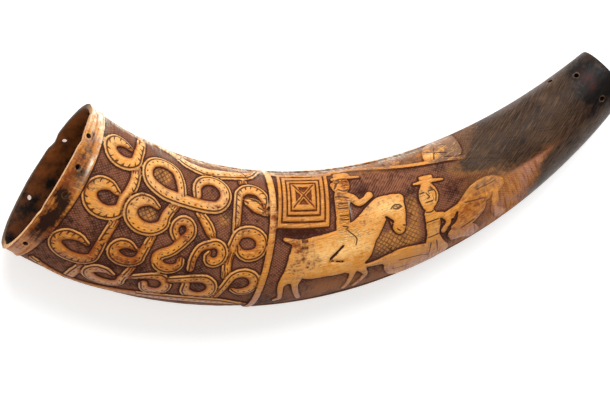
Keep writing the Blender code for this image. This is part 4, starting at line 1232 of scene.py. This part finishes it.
    # Hatching of the ground: fine and crossed, fine and one way, or wide lozenges.
    warp = add("MapRange", add("TexNoise", spot, WARP, 2.0, 0.5), 0.3, 0.7, -0.8, 0.8)
    patterns = []
    for pitch, (lean, low, high) in zip((sizes.hatch, sizes.lozenge), HATCHINGS):
        for way in (lean, -lean):
            across = add("ADD", add("MULTIPLY_ADD", along, way, around), warp)
            across = off_middle(add("DIVIDE", across, pitch * MM))
            patterns.append(add("MapRange", across, low, high, 1.0, 0.0))
    one_way, in_lozenges = [
        add("MapRange", add("MULTIPLY_ADD", mottle, 0.5, read[name]), 0.3, 0.5, 0.0, 1.0)
        for name in ("slanted", "lozenge")]
    hatch = add("Mix", one_way, add("MAXIMUM", *patterns[:2]), patterns[1])
    hatch = add("Mix", in_lozenges, hatch, add("MAXIMUM", *patterns[2:]))

    # Colour of the raised parts, from the clean horn to the dirt and wear on it, with painted shade towards
    # their edges and painted highlights on the serpents' rims and along the upper edge.
    top = colours.honey
    for name, tint in (("rubbed", colours.pale), ("brown", colours.amber)):
        top = add("Mix", add("MULTIPLY_ADD", uneven, 1.3, read[name], use_clamp=True), top, tint)
    dulled = in_patches("dull")
    # Pink is partly a painted reflection of the table along the lower edge.
    for mask, tint in ((dulled, colours.dull), (in_patches("pink"), colours.pink)):
        top = add("Mix", mask, top, tint)
    plate = add("MULTIPLY", read["plate"], add("MapRange", cloud, 0.4, 0.6, 0.35, 0.85))
    # Pale outer rims of the serpents: wear, and a painted highlight along them.
    worn = add("MULTIPLY", add("MapRange", read["inset"], 0.2, 1.0, 0.55, 0.0), read["serpent"])
    hair = add("Mapping", skin_mm, None, (0.0, 0.0, HAIR_LEAN), HAIR_MM, vector_type="TEXTURE")
    hair = add("TexNoise", hair, 1.0, 3.0, 0.65)
    beside = add("MULTIPLY", add("MapRange", beside, 0.2, 0.75, 0.5, 0.0), read["serpent"])
    # Painted shade: the raised parts go amber towards their edges, so that they look rounded.
    edge = add("MULTIPLY", add("MapRange", depth, 0.05, 1.3, 0.9, 0.0),
               add("MapRange", read["inset"], 0.6, 1.3, 0.2, 1.0))
    streak = add("TexNoise", add("Mapping", skin_mm, None, None, STREAKS), 1.0, 3.0, 0.6)
    streaky = add("MAXIMUM", add("SUBTRACT", 1.0, read["hatched"], use_clamp=True), read["faded"])
    streaky = add("SUBTRACT", streaky, read["dull"], use_clamp=True)
    streaked = add("MULTIPLY", add("MapRange", streak, 0.47, 0.62, 0.0, 0.8), streaky)
    # Painted highlight along the upper edge and in a few glints, over dry horn, broken up by streaks.
    bleached = add("MULTIPLY", in_patches("bleached"), add("MapRange", streak, 0.4, 0.6, 1.0, 0.35))
    for mask, tint in (
            (plate, colours.plate), (worn, colours.worn),
            (add("MapRange", hair, 0.44, 0.34, 0.0, 0.5), colours.pale),
            (add("MapRange", hair, 0.55, 0.68, 0.0, 0.7), colours.amber),
            (beside, colours.amber), (edge, colours.amber), (streaked, colours.amber),
            (bleached, colours.bleached)):
        top = add("Mix", mask, top, tint)

    # Colour of the ground: old dirt with painted shade, darker at the foot of each wall, lighter between
    # the lines, and a weaker painted highlight along the upper edge.
    low = colours.ground
    for mask, tint in (
            (add("MULTIPLY", in_lozenges, add("MapRange", grain, 0.35, 0.6, 0.3, 1.0)), colours.lozenge),
            (add("MapRange", cloud, 0.5, 0.6, 0.0, 0.5), colours.mauve),
            (dulled, colours.dull),
            (add("ADD", read["dark"], uneven, use_clamp=True), colours.ink),
            (add("MULTIPLY", hatch, add("MapRange", uneven, -0.4, 0.4, 0.3, 0.9)), colours.ink),
            # Painted shade, with some dirt: the ground goes dark at the foot of each wall.
            (add("MapRange", depth, -1.5, -0.35, 0.0, 0.95, interpolation_type="SMOOTHSTEP"), colours.ink),
            (add("MULTIPLY", on_plate, 0.4), colours.amber),
            (add("MULTIPLY", bleached, 0.4), colours.bleached)):
        low = add("Mix", mask, low, tint)
    skin = add("Mix", add("MULTIPLY", ground, kept), top, low)
    skin = add("Mix", add("MULTIPLY", cuts, 0.9), skin, colours.ink)
    burnt = add("ADD", add("MapRange", streak, 0.35, 0.65, -0.25, 0.25), uneven, read["burnt"])
    burnt = add("MapRange", burnt, 0.25, 1.3, 0.0, 0.95)
    skin = add("Mix", burnt, skin, colours.burnt)

    # Colour of the neck, with the marks of the scraper that run steeply across it.
    dark = add("Mix", add("MapRange", cloud, 0.42, 0.7, 0.0, 0.3), colours.neck, colours.dull)
    for name in ("mauve", "rust", "tip", "red"):
        dark = add("Mix", in_patches(name), dark, getattr(colours, name))
    scrapes = []
    for heading, length_mm, width_mm, sparse in SCRAPER_MARKS:
        scrape = add("Mapping", skin_mm, None, (0.0, 0.0, heading), (length_mm, width_mm, 1.0),
                     vector_type="TEXTURE")
        scrape = add("TexNoise", scrape, 1.0, 3.0, 0.6)
        dark = add("Mix", add("MapRange", scrape, 0.47, 0.36, 0.0, 0.75), dark, colours.tip)
        scrapes.append(add("MapRange", scrape, sparse, sparse + 0.12, 0.0, 0.42))
    scrape = add("MULTIPLY", add("MAXIMUM", *scrapes), add("MapRange", read["tip"], 0.1, 0.7, 1.0, 0.15))
    skin = add("Mix", on_neck, skin, add("Mix", scrape, dark, colours.scrape))

    # A paler, chipped ring round each peg hole.
    ring = add("ABSOLUTE", add("ADD", speck, read["peg"], -0.45))
    ring = add("MULTIPLY", add("MapRange", ring, 0.05, 0.35, 0.75, 0.0),
               add("MapRange", grain, 0.4, 0.6, 0.2, 1.0), add("MapRange", burnt, 0.0, 0.6, 1.0, 0.1))
    skin = add("Mix", ring, skin, add("Mix", on_neck, colours.worn, colours.scrape))
    feed(inputs["Base Color"], skin)

    # Gloss: satin on the tops and the neck, nearly matt in the ground.
    satin = add("MapRange", grain, 0.3, 0.7, *SATIN)
    feed(inputs["Roughness"], add("Mix", ground, satin, GROUND_ROUGHNESS))

    # Relief that is finer than the mesh.
    height = add("MULTIPLY", cuts, -1.0)
    grooved = add("MULTIPLY", add("MapRange", in_rings, -0.2, 0.2, 1.0, 0.0), on_plate)
    for part, share in (
            (grooved, -1.0), (add("MULTIPLY", hatch, ground), -0.8), (grain, 0.5), (hair, 0.5),
            (add("MULTIPLY", scrape, on_neck), -0.7)):
        height = add("MULTIPLY_ADD", part, share, height)
    feed(inputs["Normal"], add("Bump", *SKIN_BUMP, None, height))
    return material


def cut_edge(colours):
    """Cattle horn sawn across: paler and drier than the skin, with the layers of its growth."""
    material, inputs, add = fresh("sawn_horn_edge", EDGE_ROUGHNESS)
    spot = add("TexCoord", out="Object")
    layers = add("TexNoise", add("Mapping", spot, None, None, LAYERS), 1.0, 3.0, 0.6)
    shade = add("MapRange", layers, 0.35, 0.7, 0.0, 0.7)
    up = add("SeparateXYZ", spot).node.outputs["Z"]
    at_mouth = add("Mix", add("MapRange", up, 0.018, 0.034, 0.9, 0.0),
                   add("Mix", shade, colours.rim, colours.amber), colours.burnt)
    at_tip = add("Mix", shade, colours.neck, colours.tip)
    share = add("Attribute", out="Fac", attribute_name="share")
    feed(inputs["Base Color"], add("Mix", share, at_mouth, at_tip))
    feed(inputs["Normal"], add("Bump", *EDGE_BUMP, None, layers))
    return material


def raw_bore(colours):
    """The raw inside of a cattle horn, dull amber near the mouth, with painted shade that goes near black
    further in and towards the outer curve.
    """
    material, inputs, add = fresh("raw_horn_bore", BORE_ROUGHNESS)
    spot = add("TexCoord", out="Object")
    share = add("Attribute", out="Fac", attribute_name="share")
    # Painted shade: darker further into the bore and towards the outer curve.
    side = add("SeparateXYZ", spot).node.outputs["Y"]
    rough = add("TexNoise", spot, BORE_PATCHES, 4.0, 0.65)
    lit = add("ADD", add("MapRange", side, -0.019, 0.046, 1.0, -0.15),
              add("MapRange", rough, 0.35, 0.65, -0.4, 0.4))
    going_in = add("MULTIPLY_ADD", share, 4.5, lit, use_clamp=True)
    feed(inputs["Base Color"], add("Mix", going_in, colours.inside, colours.depth))
    feed(inputs["Normal"], add("Bump", *BORE_BUMP, None, rough))
    return material


def peg_wall(colours):
    """The drilled wall of a peg hole: dark with old dirt."""
    material, inputs, add = fresh("drilled_horn", PEG_ROUGHNESS)
    grime = add("TexNoise", add("TexCoord", out="Object"), GRIME, 2.0, 0.5)
    feed(inputs["Base Color"], add("Mix", grime, colours.ink, colours.burnt))
    return material


def matt_table(pale):
    """A pale light table: matt white acrylic with a weak glow, so that the shadow stays soft."""
    material, inputs, add = fresh("matt_pale_table", TABLE_ROUGHNESS, ACRYLIC_IOR)
    tone = add("TexNoise", add("TexCoord", out="Object"), TONES, 2.0, 0.5)
    hue = add("Mix", tone, (*[part * 0.985 for part in pale[:3]], 1.0), pale)
    feed(inputs["Base Color"], hue)
    feed(inputs["Emission Color"], hue)
    inputs["Emission Strength"].default_value = TABLE_GLOW
    return material


# Steps that a user runs from the panel.
class CarveHorn(bpy.types.Operator):
    """Make the carved horn with its finishes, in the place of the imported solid"""

    bl_idname = "powder_horn.carve"
    bl_label = "Carve the horn"

    def execute(self, context):
        sizes, colours = context.scene.horn_sizes, context.scene.horn_colours
        horn, points, along, places, outer = roll_up(sizes)
        horn.data.materials.append(polished_horn(sizes, colours))
        for finish in (cut_edge, raw_bore, peg_wall):
            horn.data.materials.append(finish(colours))
        drill_pegs(horn, sizes)
        write_marks(horn.data, points, along, places, outer)
        bpy.ops.object.select_all(action="DESELECT")
        horn.select_set(True)
        context.view_layer.objects.active = horn
        bpy.ops.object.shade_smooth_by_angle(angle=math.radians(60))
        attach(horn, "root")
        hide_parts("horn")
        return {"FINISHED"}


class LayTable(bpy.types.Operator):
    """Lay the table, hang the studio lights and set up the camera"""

    bl_idname = "powder_horn.lay_table"
    bl_label = "Lay the table"

    def execute(self, context):
        sizes = context.scene.horn_table
        bpy.ops.object.select_all(action="DESELECT")
        bpy.ops.mesh.primitive_plane_add(size=sizes.spread)
        table = context.object
        table.name = "table"
        table.data.materials.append(matt_table(sizes.table))
        for name, watts, side, spot in LIGHTS:
            bpy.ops.object.light_add(type="AREA", location=spot)
            light = context.object
            light.name = name
            light.data.energy = watts
            light.data.size = side
            light.rotation_euler = (-light.location).to_track_quat("-Z", "Y").to_euler()
        world = bpy.data.worlds.new("studio")
        world.use_nodes = True
        world.node_tree.nodes["Background"].inputs["Color"].default_value = (1.0, 1.0, 1.0, 1.0)
        world.node_tree.nodes["Background"].inputs["Strength"].default_value = WORLD_STRENGTH
        context.scene.world = world
        context.scene.view_settings.view_transform = "Standard"
        view = Matrix.Rotation(sizes.pitch, 3, "X") @ Matrix.Rotation(sizes.yaw, 3, "Y")
        stations, line_x, line_y = middle_line()
        mouth = Vector((np.interp(0, stations, line_x), np.interp(0, stations, line_y), 0))
        eye = mouth + view.transposed() @ Vector((-sizes.aside[0], -sizes.aside[1], sizes.away))
        bpy.ops.object.camera_add()
        camera = context.object
        camera.data.lens = sizes.lens
        camera.data.sensor_width = 36.0
        camera.matrix_world = Matrix.LocRotScale(
            Vector(laid(np.array(eye))), lie_matrix() @ view.transposed(), None)
        context.scene.camera = camera
        return {"FINISHED"}


class HornPanel(bpy.types.Panel):
    """The steps, in order, with their sizes and colours"""

    bl_idname = "VIEW3D_PT_powder_horn"
    bl_label = "Powder horn"
    bl_space_type = "VIEW_3D"
    bl_region_type = "UI"
    bl_category = "Powder horn"

    def draw(self, context):
        for step, groups in ((CarveHorn, ("horn_sizes", "horn_colours")), (LayTable, ("horn_table",))):
            box = self.layout.box()
            box.operator(step.bl_idname)
            for group in groups:
                values = getattr(context.scene, group)
                for name in values.__annotations__:
                    box.prop(values, name)


GROUPS = {"horn_sizes": CarvingSizes, "horn_colours": HornColours, "horn_table": TableSizes}
CLASSES = (*GROUPS.values(), CarveHorn, LayTable, HornPanel)


def register():
    for made in CLASSES:
        bpy.utils.register_class(made)
    for name, group in GROUPS.items():
        setattr(bpy.types.Scene, name, bpy.props.PointerProperty(type=group))


def unregister():
    for name in GROUPS:
        delattr(bpy.types.Scene, name)
    for made in reversed(CLASSES):
        bpy.utils.unregister_class(made)


def main():
    register()
    bpy.ops.powder_horn.carve()
    bpy.ops.powder_horn.lay_table()


if __name__ == "__main__":
    main()
